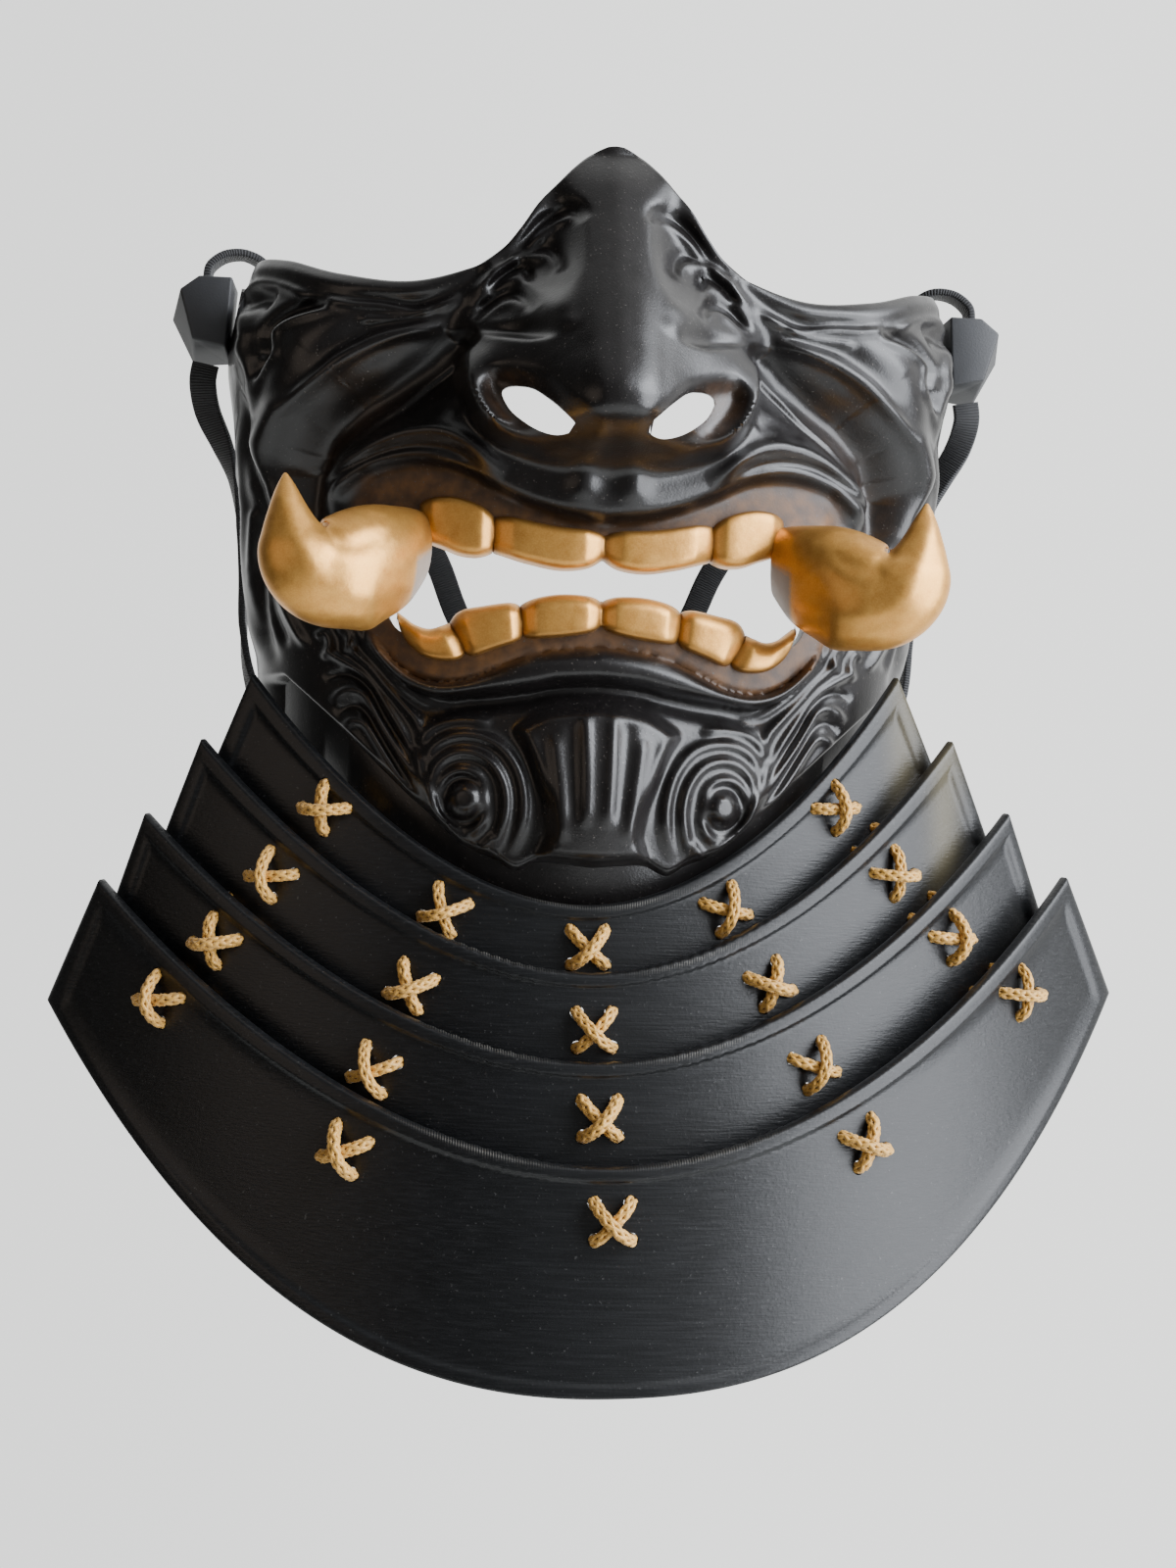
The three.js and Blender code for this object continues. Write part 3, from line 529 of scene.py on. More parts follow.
# Carved lines: points, height, width, and how much wider the left side of the line is. A minus
# height cuts in.
carvedLines = [
    # inner corner of the eye: three hollows, each above a ridge
    ([(9.5, 71), (13, 70.2), (16.3, 67.7), (19, 64.9), (22.5, 61.9), (26.6, 58), (31, 54)], 0.9, 1.1, 1),
    ([(7, 69.5), (9, 73), (12.3, 73.4), (16.3, 71), (20, 66.9), (24, 62.7), (27.5, 59.6)], -2.0, 1.5, 1),
    ([(22.4, 61.8), (19, 64.4), (15.4, 64.8), (13.4, 63), (12.6, 60), (12.4, 57)], -1.6, 1.4, 1),
    ([(33.4, 51), (27.5, 57.6), (23.5, 61), (19.7, 61.9), (16, 62), (14.2, 60.6), (14, 57)], 0.8, 1.4, 1),
    ([(27.8, 53.8), (25.1, 57.9), (22.6, 60), (20.4, 60.4), (19.1, 59), (18.8, 55.6)], -1.9, 1.3, 1),
    ([(33.4, 48.9), (29.2, 53.1), (25.9, 56.1), (23, 57.2), (20.6, 56.6), (19.3, 54.6), (18.4, 51.5),
      (17.2, 47.5)], 0.8, 1.4, 1),
    ([(31, 47.6), (27.4, 51.9), (24.1, 53.7), (21.6, 53.4), (19.6, 51.4), (17.6, 47.9)], -2.1, 1.4, 1),
    ([(29.8, 46.9), (27.3, 49.2), (24.5, 50.9), (21.5, 50.8), (19.4, 48.9)], 0.6, 1.3, 1),
    # rolled upper rim
    ([(27, 61), (30, 58.6), (33.8, 56.4), (39.5, 53.9), (44.5, 52.8),
      (51.9, 53.4), (58.9, 53.9)], -1.7, 1.8, 1),
    ([(33.1, 54), (36.8, 52.1), (41.9, 50.8), (46.9, 51.2), (51.8, 52.1), (59.4, 52.8),
      (67.6, 56.6)], 1.3, 1.2, 1),
    # ear-like scroll at the rim's end
    ([(60.6, 53.6), (65.1, 53), (69.6, 52), (72.5, 50), (73.7, 47.6), (72.9, 43.8), (74.3, 41.3),
      (76.1, 37.2)], -2.4, 1.5, 1),
    ([(59.4, 52), (64.3, 50.7), (68.5, 49.4), (71, 47.8), (71.3, 45.2), (71, 42), (74.5, 38),
      (76, 31)], 1.2, 1.1, 1),
    ([(81, 58), (79.8, 53), (78.4, 48.9), (78.8, 45.7), (77.4, 41.3), (76.9, 36.6), (77.2, 29)],
     1.5, 1.3, 1),
    ([(83, 59), (79.4, 61.3), (75.3, 60.5), (70, 57.9), (65.3, 54.6)], 1.4, 1.3, 1),
    ([(81, 56), (77.5, 57.3), (73.5, 56)], -1.6, 2.2, 1),
    # cheek
    ([(36.7, 47.4), (43, 46.2), (49.3, 44.2), (55.3, 41.2), (61.7, 36.3), (67.6, 31.8), (72, 27.4),
      (75, 20.8), (75.4, 14)], 2.0, 1.4, 2.6),
    ([(37, 50.4), (44.4, 48.6), (51.7, 46.9), (56.3, 44.4), (60.4, 41.4), (63.6, 37.8), (67, 34.4),
      (71, 30)], -2.3, 1.6, 2.2),
    ([(56, 48.8), (49.3, 49.2), (44.4, 49.6), (39.3, 50.6)], 0.9, 0.9, 1),
    ([(31, 43), (35.1, 39.1), (40.1, 35.2), (45.6, 30.4), (51.2, 26.6), (55.9, 22.2), (61.3, 17.6)],
     1.6, 0.9, 4),
    # upper lip
    ([(66, 7.5), (63.6, 13), (58.5, 16.6), (53.2, 20), (48.3, 22.7), (43.4, 23.8), (38.4, 23.7),
      (33.9, 22.3), (29.4, 19.4), (25.5, 16.2), (22, 14)], 1.9, 1.7, 1),
    ([(64.8, 8.5), (61.8, 12.8), (57.7, 15.5), (53.1, 17.9), (48.2, 19.6), (42.6, 20.4), (36.9, 19.9),
      (31.9, 18.2), (27, 15)], -1.4, 1.1, 1),
    ([(32.5, 27.5), (36, 29), (40, 28), (45, 25)], -0.8, 2.2, 1),
    # lower lip corner and jaw
    ([(54.3, -16), (53.6, -20.5), (50.8, -24.6), (46.6, -29.4), (42.8, -33), (38.4, -36), (32, -37.8)],
     1.5, 1.2, 1),
    ([(57.5, -18.5), (55.2, -24.2), (50.9, -28.2), (47, -32.7), (42.8, -37), (39.8, -40.5),
      (38.8, -44)], 1.3, 1.1, 1),
    ([(61, -23), (59.4, -25.6), (56.6, -27.2), (52.6, -29.9), (48.9, -34.2), (45.9, -38.4),
      (42.8, -43.3), (40.5, -48.3)], 1.2, 1.0, 1),
    ([(61.5, -31.5), (59.4, -30.2), (56.2, -29.9), (52.6, -31.5), (49.8, -34.8), (47.4, -39.4),
      (44.4, -43.8), (41, -48.6)], -1.3, 0.9, 1),
    ([(60, -36.8), (57.7, -34.6), (55, -33.6), (51.9, -34.6), (49.9, -37.8), (47.2, -42.2),
      (44, -47), (40, -52.6), (36.2, -58)], 1.4, 1.1, 1),
    ([(58.5, -39.5), (56.5, -37.6), (54, -37), (51.4, -38.6), (49.2, -42.2), (45.7, -47.6),
      (42, -53.3), (37.6, -59.4)], -1.2, 0.9, 1),
    ([(57, -42.6), (54.8, -40.8), (52, -40.9), (49.8, -43.4), (46.8, -48), (43.2, -53), (39, -58)],
     1.3, 1.0, 1),
    ([(57.5, -25.5), (55.2, -22.6), (56.4, -19.6), (59, -20.8)], 1.1, 1.0, 1),
    ([(62, -27), (60.2, -23.6), (61.6, -20.4), (64, -21.8)], 1.1, 1.0, 1),
    # volute beside the chin
    ([(33.1, -60.3), (34.2, -56.7), (33.3, -53.2), (30.4, -51.3), (27, -51.8), (24.6, -54.5),
      (24, -58.8), (25.6, -63.3), (28.6, -65.4)], 1.9, 1.25, 1),
    ([(34.2, -62), (36.2, -56.7), (35.6, -51), (32.3, -47.6), (27.8, -46.9), (23.4, -48.9),
      (20.4, -53.4), (19.6, -59.1), (21, -65.6), (23.4, -69)], 1.9, 1.35, 1),
    ([(38.2, -52), (36.6, -46.6), (32.3, -43.6), (26.9, -43.2), (21.5, -45.3), (17.6, -50.2),
      (15.9, -56.6), (16.2, -63), (18.4, -69.6)], 1.8, 1.4, 1),
    ([(39.4, -46), (37, -42.4), (33.4, -40.4), (28.6, -39.8), (23, -40.6)], 1.4, 1.1, 1),
    ([(40.2, -46), (39, -50.5), (37.2, -55.2), (34.6, -60.6), (30.8, -65.4), (27, -67.8)],
     1.5, 1.1, 1),
    ([(22, -65), (25, -68.8)], 0.9, 0.9, 1),
    # chin
    ([(3.1, -37), (2.9, -43), (2.7, -50), (2.5, -56), (2.4, -63)], 0.9, 1.2, 1),
    ([(6.3, -39), (5.9, -46), (5.4, -54), (5, -62)], -0.6, 1.6, 1),
    ([(9.8, -42), (9.3, -48), (8.4, -54), (7.6, -61), (7.4, -66)], 0.8, 1.4, 1),
    ([(15.6, -42.5), (14, -47.5), (12.2, -53), (10.4, -59), (9.6, -65)], 0.8, 1.5, 1),
    # side wall
    ([(82.2, 40), (80.6, 30), (79, 21.5), (77, 13), (77.6, 4), (79.4, -6), (78, -18), (73, -28)],
     -2.2, 1.6, 1),
    ([(84.6, 34), (83, 22), (82.6, 10), (83.4, -2), (82.2, -14), (78.8, -25)], 1.3, 1.3, 1),
    ([(79.8, 10), (80.6, 2), (80.8, -8), (78.2, -20)], 1.2, 1.1, 1),
    ([(85.6, 20), (85.2, 6), (84.4, -10), (82.8, -24)], -1.3, 1.3, 1),
    ([(72.5, 4), (73.5, -3), (72.8, -11), (69, -19), (65.5, -24)], 1.3, 1.2, 1),
    ([(76, 2), (76.6, -6), (75.2, -15), (70.6, -24)], -1.2, 1.1, 1),
]


def halfWidthAt(z):
    return shell["rearHalfWidth"] - shell["jawNarrowing"] * smooth(-z, -25, 42)


def angleOf(x, z):
    return np.arcsin(np.clip(x / halfWidthAt(z), -1, 1))


def plainNose(a, z):
    return noseHeight(z) / (1 + (a / noseHalfWidth(z)) ** 3.5)


def plainRelief(x, z):
    # the large forms, in front of the plain curved shell
    a = np.abs(x)
    cheek = 7 * bell((a - 64) / 22) * bell((z - 47) / 15) * smooth(86 - a, 0, 7)
    tongueAway, tongueAlong, _ = nearestOnLine(cheekTongue, a, z)
    tongue = lerp(5.5, 4, tongueAlong) * bell(tongueAway / lerp(11, 4.5, tongueAlong))
    tongue = tongue * smooth(tongueAlong, -0.01, 0.35) * smooth(87 - a, 0, 5)
    groove = -6.5 * bell(nearestOnLine(deepGroove, a, z)[0] / 6)
    insideMouth = smooth(66 - a, 0, 8)
    lip = 5 * bell((z - upperLip(a) - 6) / 8) * insideMouth
    chin = 8 * bell(a / 17) * bell((z + 54) / 20)
    volute = 4 * bell(np.hypot(a - 28, z + 55) / 12)
    return plainNose(a, z) + cheek + tongue + groove + lip + chin + volute


def noseForm(a, z):
    # a roof-like bridge whose front widens into both wings, with a hollow above each wing
    front = noseHeight(z) * (1 - 0.42 * smooth(a, 3, 26)) + 2.0 * bell((a - 21) / 7) * bell((z - 38) / 7)
    ridge = np.sqrt(a * a + 1.2) - 1.1
    front = front - 0.17 * np.minimum(ridge, 8) * smooth(z, 18, 26)
    beside = noseHeight(z) / (1 + (a / (noseHalfWidth(z) + 5 * bell((z - 49) / 8))) ** 3.5)
    beside = beside - 2.0 * smooth(z, 46, 54) * bell((a - 12.5) / 5)
    softness = 1.9 + 4.4 * smooth(z, 43.5, 47) * smooth(57 - z, 0, 7) + 5 * smooth(z, 70, 79)
    inside = insideCurve(noseFront, a, z)
    rounding = 0.9 + 2.6 * smooth(z, 39, 43) * smooth(57 - z, 0, 7)
    blend = smooth((inside + softness) / (softness + rounding), 0, 1)
    return lerp(beside, front, blend)


def carvedRelief(x, z):
    # the whole front, with every carved form and line
    a = np.abs(x)
    height = plainRelief(x, z) - plainNose(a, z) + noseForm(a, z)
    # nostrils, set back from the wings' rims
    bowl = insideCurve(nostrilBowl, a, z)
    height = height - 3.6 * smooth(bowl, -1.6, 3.4)
    height = height + 1.6 * bell((a - 5.4) / 3.0) * bell((z - 12.6) / 3.6)
    # rolled upper rim
    fromTop = topEdge(shell["rearHalfWidth"] * angleOf(a, z)) - z
    height = height + 1.8 * bell((fromTop - 2.6) / 2.8) * smooth(a, 14, 24) * smooth(84 - a, 0, 6)
    # the side swells where the strap blocks are
    height = height + 2.6 * bell((z - 47) / 13) * smooth(a, 74, 84)
    # gums stand back from the lips
    lipEdge = z - upperLip(a)
    inner = smooth(66 - a, 0, 5)
    gum = smooth(-lipEdge, -0.9, 1.4) * smooth(z - lowerGum(a), -1.2, 2.2) * smooth(56 - a, 0, 6)
    height = lerp(height, 2.2, gum) + 0.9 * bell((lipEdge - 1.4) / 1.3) * inner
    height = height + 1.5 * bell((lipEdge - 3.2) / 3.2) * inner
    middle = (lowerGum(a) + lipFoot(a)) / 2
    lipHalf = np.maximum((lowerGum(a) - lipFoot(a)) / 2, 1.2)
    roll = np.clip(1 - ((z - middle) / (lipHalf * 1.25)) ** 2, 0, 1)
    height = height + 4.2 * roll ** 0.75 * smooth(53 - a, 0, 5)
    height = height - 2.2 * bell((z - lipFoot(a) + 2.2) / 2.4) * smooth(46 - a, 0, 10)
    # chin and its volutes
    boss = insideCurve(chinBoss, a, z)
    height = height + 3.4 * smooth(boss, -0.8, 3.0)
    knob = np.hypot(a - 28.8, z + 57.4)
    height = height + 2.6 * smooth(4.6 - knob, 0, 3) - 1.2 * bell((knob - 5.2) / 1.1)
    for points, rise, width, leftSide in carvedLines:
        line = rounded(points, 3)
        low, high = line.min(0) - 9, line.max(0) + 9
        near = (a > low[0]) & (a < high[0]) & (z > low[1]) & (z < high[1])
        away, along, side = nearestOnLine(line, a[near], z[near])
        spread = np.where(side > 0, width * leftSide, width)
        taper = smooth(along, -0.02, 0.16) * smooth(1.02 - along, 0, 0.2)
        height[near] += rise * bell(away / spread) * taper
    # plain skirt below the jaw
    skirt = smooth(jawLine(a) - z, -0.8, 2.2) * smooth(80 - a, 0, 8)
    return lerp(height, plainRelief(x, z) - 5, skirt)


def facePoint(angle, z, height):
    # a point so far in front of the plain curved shell
    turn = angle * smooth(np.abs(angle), 0.45, 1.3)
    x = halfWidthAt(z) * np.sin(angle) + height * np.sin(turn)
    y = -shell["depth"] * np.cos(angle) - height * np.cos(turn)
    return np.stack(np.broadcast_arrays(x, y, z), -1)


def wallDepth(x, z):
    # the wall measured front to back, so that a slope stays as thick as the rest
    step = 1.5
    across = (plainRelief(x + step, z) - plainRelief(x - step, z)) / (2 * step)
    up = (plainRelief(x, z + step) - plainRelief(x, z - step)) / (2 * step)
    return np.minimum(shell["wall"] * np.sqrt(1 + across ** 2 + up ** 2), shell["thickestWall"])


def spaced(places, density, count):
    # count + 1 of the places, closer together where the density is higher
    total = np.concatenate([[0], np.cumsum((density[1:] + density[:-1]) / 2)])
    return np.interp(np.linspace(0, total[-1], count + 1), total, places)


def columnAngles():
    # more columns where the carving is fine
    run = shell["halfRun"]
    a = np.linspace(-run, run, 2001)
    density = 0.55 + 0.75 * bell((np.abs(a) - 20) / 22) + 0.35 * bell((np.abs(a) - 62) / 26)
    return spaced(a, density, shell["columns"]) / run * math.pi / 2


def rowPlaces():
    # closer rows at the eyes' corners and over the chin
    t = np.linspace(0, 1, 1001)
    density = 0.85 + 0.7 * bell((t - 0.87) / 0.1) + 0.3 * bell((t - 0.2) / 0.13)
    return spaced(t, density, shell["rows"])


def cutOpening(outline, x, z, keep):
    # drop the quads inside an outline, and move the vertices round it onto the outline
    inside = insideDepth(outline, x, z) > 0
    corners = inside[:-1, :-1] & inside[1:, :-1] & inside[:-1, 1:] & inside[1:, 1:]
    keep &= ~corners
    ring = np.vstack([outline, outline[:1]])
    starts, steps = ring[:-1], ring[1:] - ring[:-1]
    for j, i in zip(*np.nonzero(inside)):
        if not keep[max(j - 1, 0):j + 1, max(i - 1, 0):i + 1].any():
            continue
        here = np.array([x[j, i], z[j, i]])
        t = np.clip(((here - starts) * steps).sum(1) / (steps ** 2).sum(1), 0, 1)
        feet = starts + steps * t[:, None]
        x[j, i], z[j, i] = feet[np.argmin(((feet - here) ** 2).sum(1))]


def sheetSolid(front, back, keep):
    # a closed solid between two sheets of points, of the quads that are kept
    rows, columns = keep.shape
    index = np.arange((rows + 1) * (columns + 1)).reshape(rows + 1, columns + 1)
    j, i = np.nonzero(keep)
    quads = np.stack([index[j, i], index[j, i + 1], index[j + 1, i + 1], index[j + 1, i]], 1)
    count = (rows + 1) * (columns + 1)
    edges = np.concatenate([quads[:, [k, (k + 1) % 4]] for k in range(4)])
    codes = edges[:, 0] * count + edges[:, 1]
    border = edges[~np.isin(codes, edges[:, 1] * count + edges[:, 0])]
    walls = np.stack([border[:, 1], border[:, 0], border[:, 0] + count, border[:, 1] + count], 1)
    faces = np.concatenate([quads, quads[:, ::-1] + count, walls])
    used, renumbered = np.unique(faces, return_inverse=True)
    vertices = np.concatenate([front.reshape(-1, 3), back.reshape(-1, 3)])[used]
    return vertices, renumbered.reshape(faces.shape).tolist(), used


def makeMask():
    angles = columnAngles()[None, :]
    a = np.abs(angles) / (math.pi / 2) * shell["halfRun"]
    z = lerp(bottomEdge(a), topEdge(a), rowPlaces()[:, None])
    x = halfWidthAt(z) * np.sin(angles)
    keep = np.ones((shell["rows"], shell["columns"]), bool)
    mouth = mouthHalf + [(-px, pz) for px, pz in reversed(mouthHalf[1:-1])]
    shift = shell["nostrilShift"]
    holes = [mouth, [(px - shift, pz) for px, pz in nostril], [(-px - shift, pz) for px, pz in nostril]]
    for hole in holes:
        cutOpening(rounded(hole, 6, closed=True), x, z, keep)
    angle = angleOf(x, z)
    front = facePoint(angle, z, carvedRelief(x, z))
    behind = plainRelief(x, z) - wallDepth(x, z) - 0.5
    for hole in holes[1:]:
        # the wall thins out towards each nostril
        nearHole = smooth(insideCurve(hole, x, z, 6), -3.5, -0.6)
        behind = lerp(behind, carvedRelief(x, z) - 1.0, nearHole)
    back = facePoint(angle, z, behind)
    vertices, faces, used = sheetSolid(front, back, keep)
    mask = meshObject("mask", vertices, faces, lacquer, sharpAngle=75)
    inner = mask.vertex_groups.new(name="back")
    inner.add(np.nonzero(used >= front.shape[0] * front.shape[1])[0].tolist(), 1.0, "REPLACE")
    # where the brown dry brushing stays
    side = np.abs(x)
    groove = bell(nearestOnLine(deepGroove, side, z)[0] / 4) * 0.12 * smooth(side, 40, 56)
    gum = 0.35 * smooth(upperLip(side) - z, -0.4, 1.2) + 0.65 * smooth(upperLip(side) - z, 0.5, 4.5)
    gum = gum * smooth(z - lowerGum(side), -1.0, 1.5) * smooth(58 - side, 0, 5)
    bowl = 0.3 * smooth(insideCurve(nostrilBowl, side, z), -0.5, 1.5)
    hollow = np.maximum(np.maximum(groove, gum), bowl * smooth(side, 14, 24))
    everywhere = np.concatenate([hollow.ravel(), np.zeros(hollow.size)])
    addAttribute(mask, "hollow", everywhere[used])
    thin = mask.modifiers.new("plainBack", "DECIMATE")
    thin.ratio = (1 + shell["backDetail"]) / 2
    thin.vertex_group = "back"
    bakeModifiers(mask)
    mask.vertex_groups.clear()
    placeInFrame(mask, "mask_shell")


makeMask()
print("mask made")


teeth = {
    "proud": 4.2,  # in front of the plain shell
    "thickness": 7.5,
    "bulge": 1.4,
    "seamDepth": 1.0,
    "bevel": 0.9,  # on each tooth's ends
    "step": 0.5,  # from section to section
}

# From the middle outwards: where each tooth starts and ends, then the row's edges and lean.
upperRow = {
    "spans": [(0.25, 24.2), (24.5, 40.8)],
    "top": through([(0, 3), (10.8, 3.5), (23.3, 6), (25.5, 6.8), (30, 8.6), (34.2, 9.5), (40.8, 9.2)]),
    "bottom": through([(0, -4.2), (3.6, -5.4), (9.6, -5.9), (16.5, -4.7), (22, -3.4), (25.5, -3.4),
                       (28.5, -3.6), (32, -3.1), (36, -1.5), (40.8, 0)]),
    "lean": through([(0, 0), (41, 0)]),
}
lowerRow = {
    "spans": [(0.25, 17.4), (17.7, 31.3), (31.6, 45)],
    "top": through([(0, -11.5), (9.4, -11.4), (17.5, -13), (24.7, -14.4), (30, -15.8), (33, -18.6),
                    (36.5, -19.7), (40.4, -18.8), (43, -17.2), (45, -15.9)]),
    "bottom": through([(0, -19.3), (7.3, -20.7), (16.7, -21.9), (24.4, -24), (30.3, -26), (35, -26.9),
                       (39.3, -26.1), (42.8, -23.2), (44.4, -20), (45, -17.4)]),
    "lean": through([(0, 0), (17.5, 0.8), (31.5, 3.8), (38, 2), (45, 0)]),
}


def softCorners(corners, radius, steps):
    # a closed outline with every corner rounded
    corners = np.array(corners, float)
    outline = []
    for i, corner in enumerate(corners):
        into = corners[i - 1] - corner
        away = corners[(i + 1) % len(corners)] - corner
        into *= min(radius / np.linalg.norm(into), 0.48)
        away *= min(radius / np.linalg.norm(away), 0.48)
        for t in np.linspace(0, 1, steps):
            outline.append(corner + into * (1 - t) ** 2 + away * t ** 2)
    return np.array(outline)


def toothSection(top, bottom, front, lower):
    # outline of a tooth seen from the side
    back = teeth["proud"] - teeth["thickness"]
    if lower:
        corners = [(bottom, back), (bottom, front - 1.0), (bottom + 1.2, front), (top - 2.2, front),
                   (top, front - 2.6), (top, back)]
    else:
        corners = [(bottom, back), (bottom, front - 1.6), (bottom + 1.5, front), (top - 1.4, front),
                   (top, front - 1.0), (top, back)]
    return softCorners(corners, 1.5, 6)


def makeTeeth(name, node, row, lower):
    half = [(0, 0.8, teeth["proud"] - teeth["seamDepth"], 1.0)]
    last = row["spans"][-1][1]
    for start, end in row["spans"]:
        count = max(round((end - start) / teeth["step"]), 6)
        for t in np.linspace(0, 1, count + 1):
            edge = abs(2 * t - 1)
            inner = abs(2 * min(t, 0.5) - 1) if lower and end == last else edge
            front = teeth["proud"] + teeth["bulge"] * (1 - inner ** 4)
            front -= teeth["bevel"] * smooth(inner, 0.62, 0.78) * max(inner - 0.62, 0) / 0.38
            half.append((lerp(start, end, t), 0.9 * inner ** 6, front, smooth(inner, 0.86, 1.0)))
        half.append((end + 0.15, 1.3, teeth["proud"] - teeth["seamDepth"], 1.0))
    vertices, paintedShades = [], []
    for x, pinch, front, edge in [(-x, *rest) for x, *rest in half[:0:-1]] + half:
        far = abs(x)
        top, bottom = row["top"](far) - pinch, row["bottom"](far) + pinch
        if lower:
            front -= 2.4 * float(smooth(far, 39, 46))
        section = toothSection(top, bottom, front, lower)
        for z, proud in section:
            leaned = far + float(row["lean"](far)) * ((z - bottom) / (top - bottom) - 0.5)
            vertices.append(facePoint(angleOf(math.copysign(leaned, x) if far else 0, z), z, proud))
            # painted shade: darker near each tooth's ends and where it meets the gum
            root = smooth(bottom + 2.2 - z, 0, 2.2) if lower else smooth(z - top + 2.2, 0, 2.2)
            paintedShades.append(max(0.75 * float(edge), 0.85 * float(root)))
    faces = tubeFaces(2 * len(half) - 1, len(section), turned=True)
    piece = meshObject(name, vertices, faces, gold, sharpAngle=50)
    addAttribute(piece, "paintedShade", paintedShades)
    placeInFrame(piece, node)


makeTeeth("upperTeeth", "upper_teeth", upperRow, lower=False)
makeTeeth("lowerTeeth", "lower_teeth", lowerRow, lower=True)
print("teeth made")


tusk = {
    "flat": 0.85,  # depth over width
    "lean": 0.3,  # how much of the path's forward slope its sections take
    "square": (0.42, 0.24),  # until where along it sections are cut square, and how soon that fades
    "steps": 9,
    "sides": 56,
    "grain": 0.4,  # size of the new skin's faces
    "relaxing": 36,
}

# Middle and radius along the right tusk, root to tip.
tuskStations = [
    (39.2, -52.5, -1, 7.3), (42.8, -57, -4, 10.6), (47, -61.5, -6, 12.4), (51.5, -65.5, -7.6, 13.4),
    (56.4, -69.5, -9.6, 12.8), (60.6, -72.8, -10.6, 10.9), (64.2, -74.5, -8.6, 9.9), (66.7, -75, -5, 8.5),
    (67.9, -74.8, -0.9, 6.2), (68.7, -74, 3.6, 4.1), (69.2, -73, 7.6, 2.4), (69.6, -72, 11.4, 0.5),
]

# Folds on the tusk's front, in the front view, with height and width.
tuskFolds = [
    ([(60.4, -1.2), (58.2, -3.7), (55, -4.8), (51.9, -3.8), (49.4, -2.2), (47.4, 0.6)], -0.7, 1.5),
    ([(57.6, 1.2), (54.5, 3.4), (51, 2.6), (48.6, 0.6)], -0.5, 1.6),
    ([(60.5, -16), (55, -17.4), (49.8, -17.2), (46, -15)], -0.45, 1.2),
    ([(69.2, 5), (67.2, 0), (65.4, -5), (62.6, -10), (59, -15)], 0.7, 2.2),
]


def reskinned(piece):
    # one clean skin where the swept form folds over itself at the bend
    remesh = piece.modifiers.new("remesh", "REMESH")
    remesh.mode = "VOXEL"
    remesh.voxel_size = tusk["grain"] * mm
    remesh.use_smooth_shade = True
    relax = piece.modifiers.new("relax", "SMOOTH")
    relax.factor = 0.5
    relax.iterations = tusk["relaxing"]
    bakeModifiers(piece)


def makeTusk(name, node, side):
    stations = rounded(tuskStations, tusk["steps"])
    places, radii = stations[:, :3], stations[:, 3]
    sides = tusk["sides"]
    vertices, fronts, tops, progresses = [], [], [], []
    for i, place in enumerate(places):
        along = places[min(i + 1, len(places) - 1)] - places[max(i - 1, 0)]
        # sections lean little forward, so that the front doesn't fold
        along[1] *= tusk["lean"]
        along /= np.linalg.norm(along)
        # the root end is cut square to the row of teeth
        squared = float(smooth(tusk["square"][0] - i / (len(places) - 1), 0, tusk["square"][1]))
        along = lerp(along, np.array([0.97, -0.25, 0]), squared)
        along /= np.linalg.norm(along)
        outward = np.array([0, -1.0, 0]) + along * along[1]
        outward /= np.linalg.norm(outward)
        across = np.cross(outward, along)
        for k in range(sides):
            angle = 2 * math.pi * k / sides
            vertices.append(place + across * radii[i] * math.cos(angle)
                            + outward * radii[i] * tusk["flat"] * math.sin(angle))
            fronts.append(math.sin(angle))
            tops.append(math.cos(angle))
            progresses.append(i / (len(places) - 1))
    vertices, fronts, tops = np.array(vertices), np.array(fronts), np.array(tops)
    progresses = np.array(progresses)
    for points, rise, width in tuskFolds:
        away, along, _ = nearestOnLine(rounded(points, 4), vertices[:, 0], vertices[:, 2])
        vertices[:, 1] -= rise * bell(away / width) * smooth(fronts, 0.05, 0.5) * smooth(1 - along, 0, 0.3)
    # painted shade: darker at the root's top and on the back, which faces away
    paintedShades = 0.55 * smooth(0.09 - progresses, 0, 0.05) * smooth(tops, -0.1, 0.5)
    paintedShades = paintedShades + 0.3 * smooth(-fronts, -0.2, 0.8)
    bare = smooth(0.1 - progresses, -0.015, 0.01) * smooth(-tops, -0.1, 0.25)
    vertices[:, 0] *= side
    piece = meshObject(name, vertices, tubeFaces(len(places), sides, turned=side < 0), gold)
    reskinned(piece)
    sections = KDTree(len(vertices))
    for i, vertex in enumerate(vertices):
        sections.insert(vertex, i)
    sections.balance()
    nearest = [sections.find(vertex.co / mm)[1] for vertex in piece.data.vertices]
    addAttribute(piece, "paintedShade", paintedShades[nearest])
    addAttribute(piece, "bare", bare[nearest])
    placeInFrame(piece, node)


makeTusk("tuskRight", "tusk_right", 1)
makeTusk("tuskLeft", "tusk_left", -1)
print("tusks made")


plates = {
    "thickness": 2.8,
    "rimWidth": 2.9,
    "rimStep": 0.8,
    "edgeRadius": 0.7,
    "topPower": 1.9,  # how suddenly the top edge rises to its corners
    "bend": 0.0037,  # backward sweep, per mm of half width squared
    "flare": 0.12,  # forward lean, per mm of drop
    "hangTurn": math.radians(2),
    "hangPoint": (0, -62),
    "stepHeight": 0.16,  # printed steps on the top edge
    "columns": 200,
}

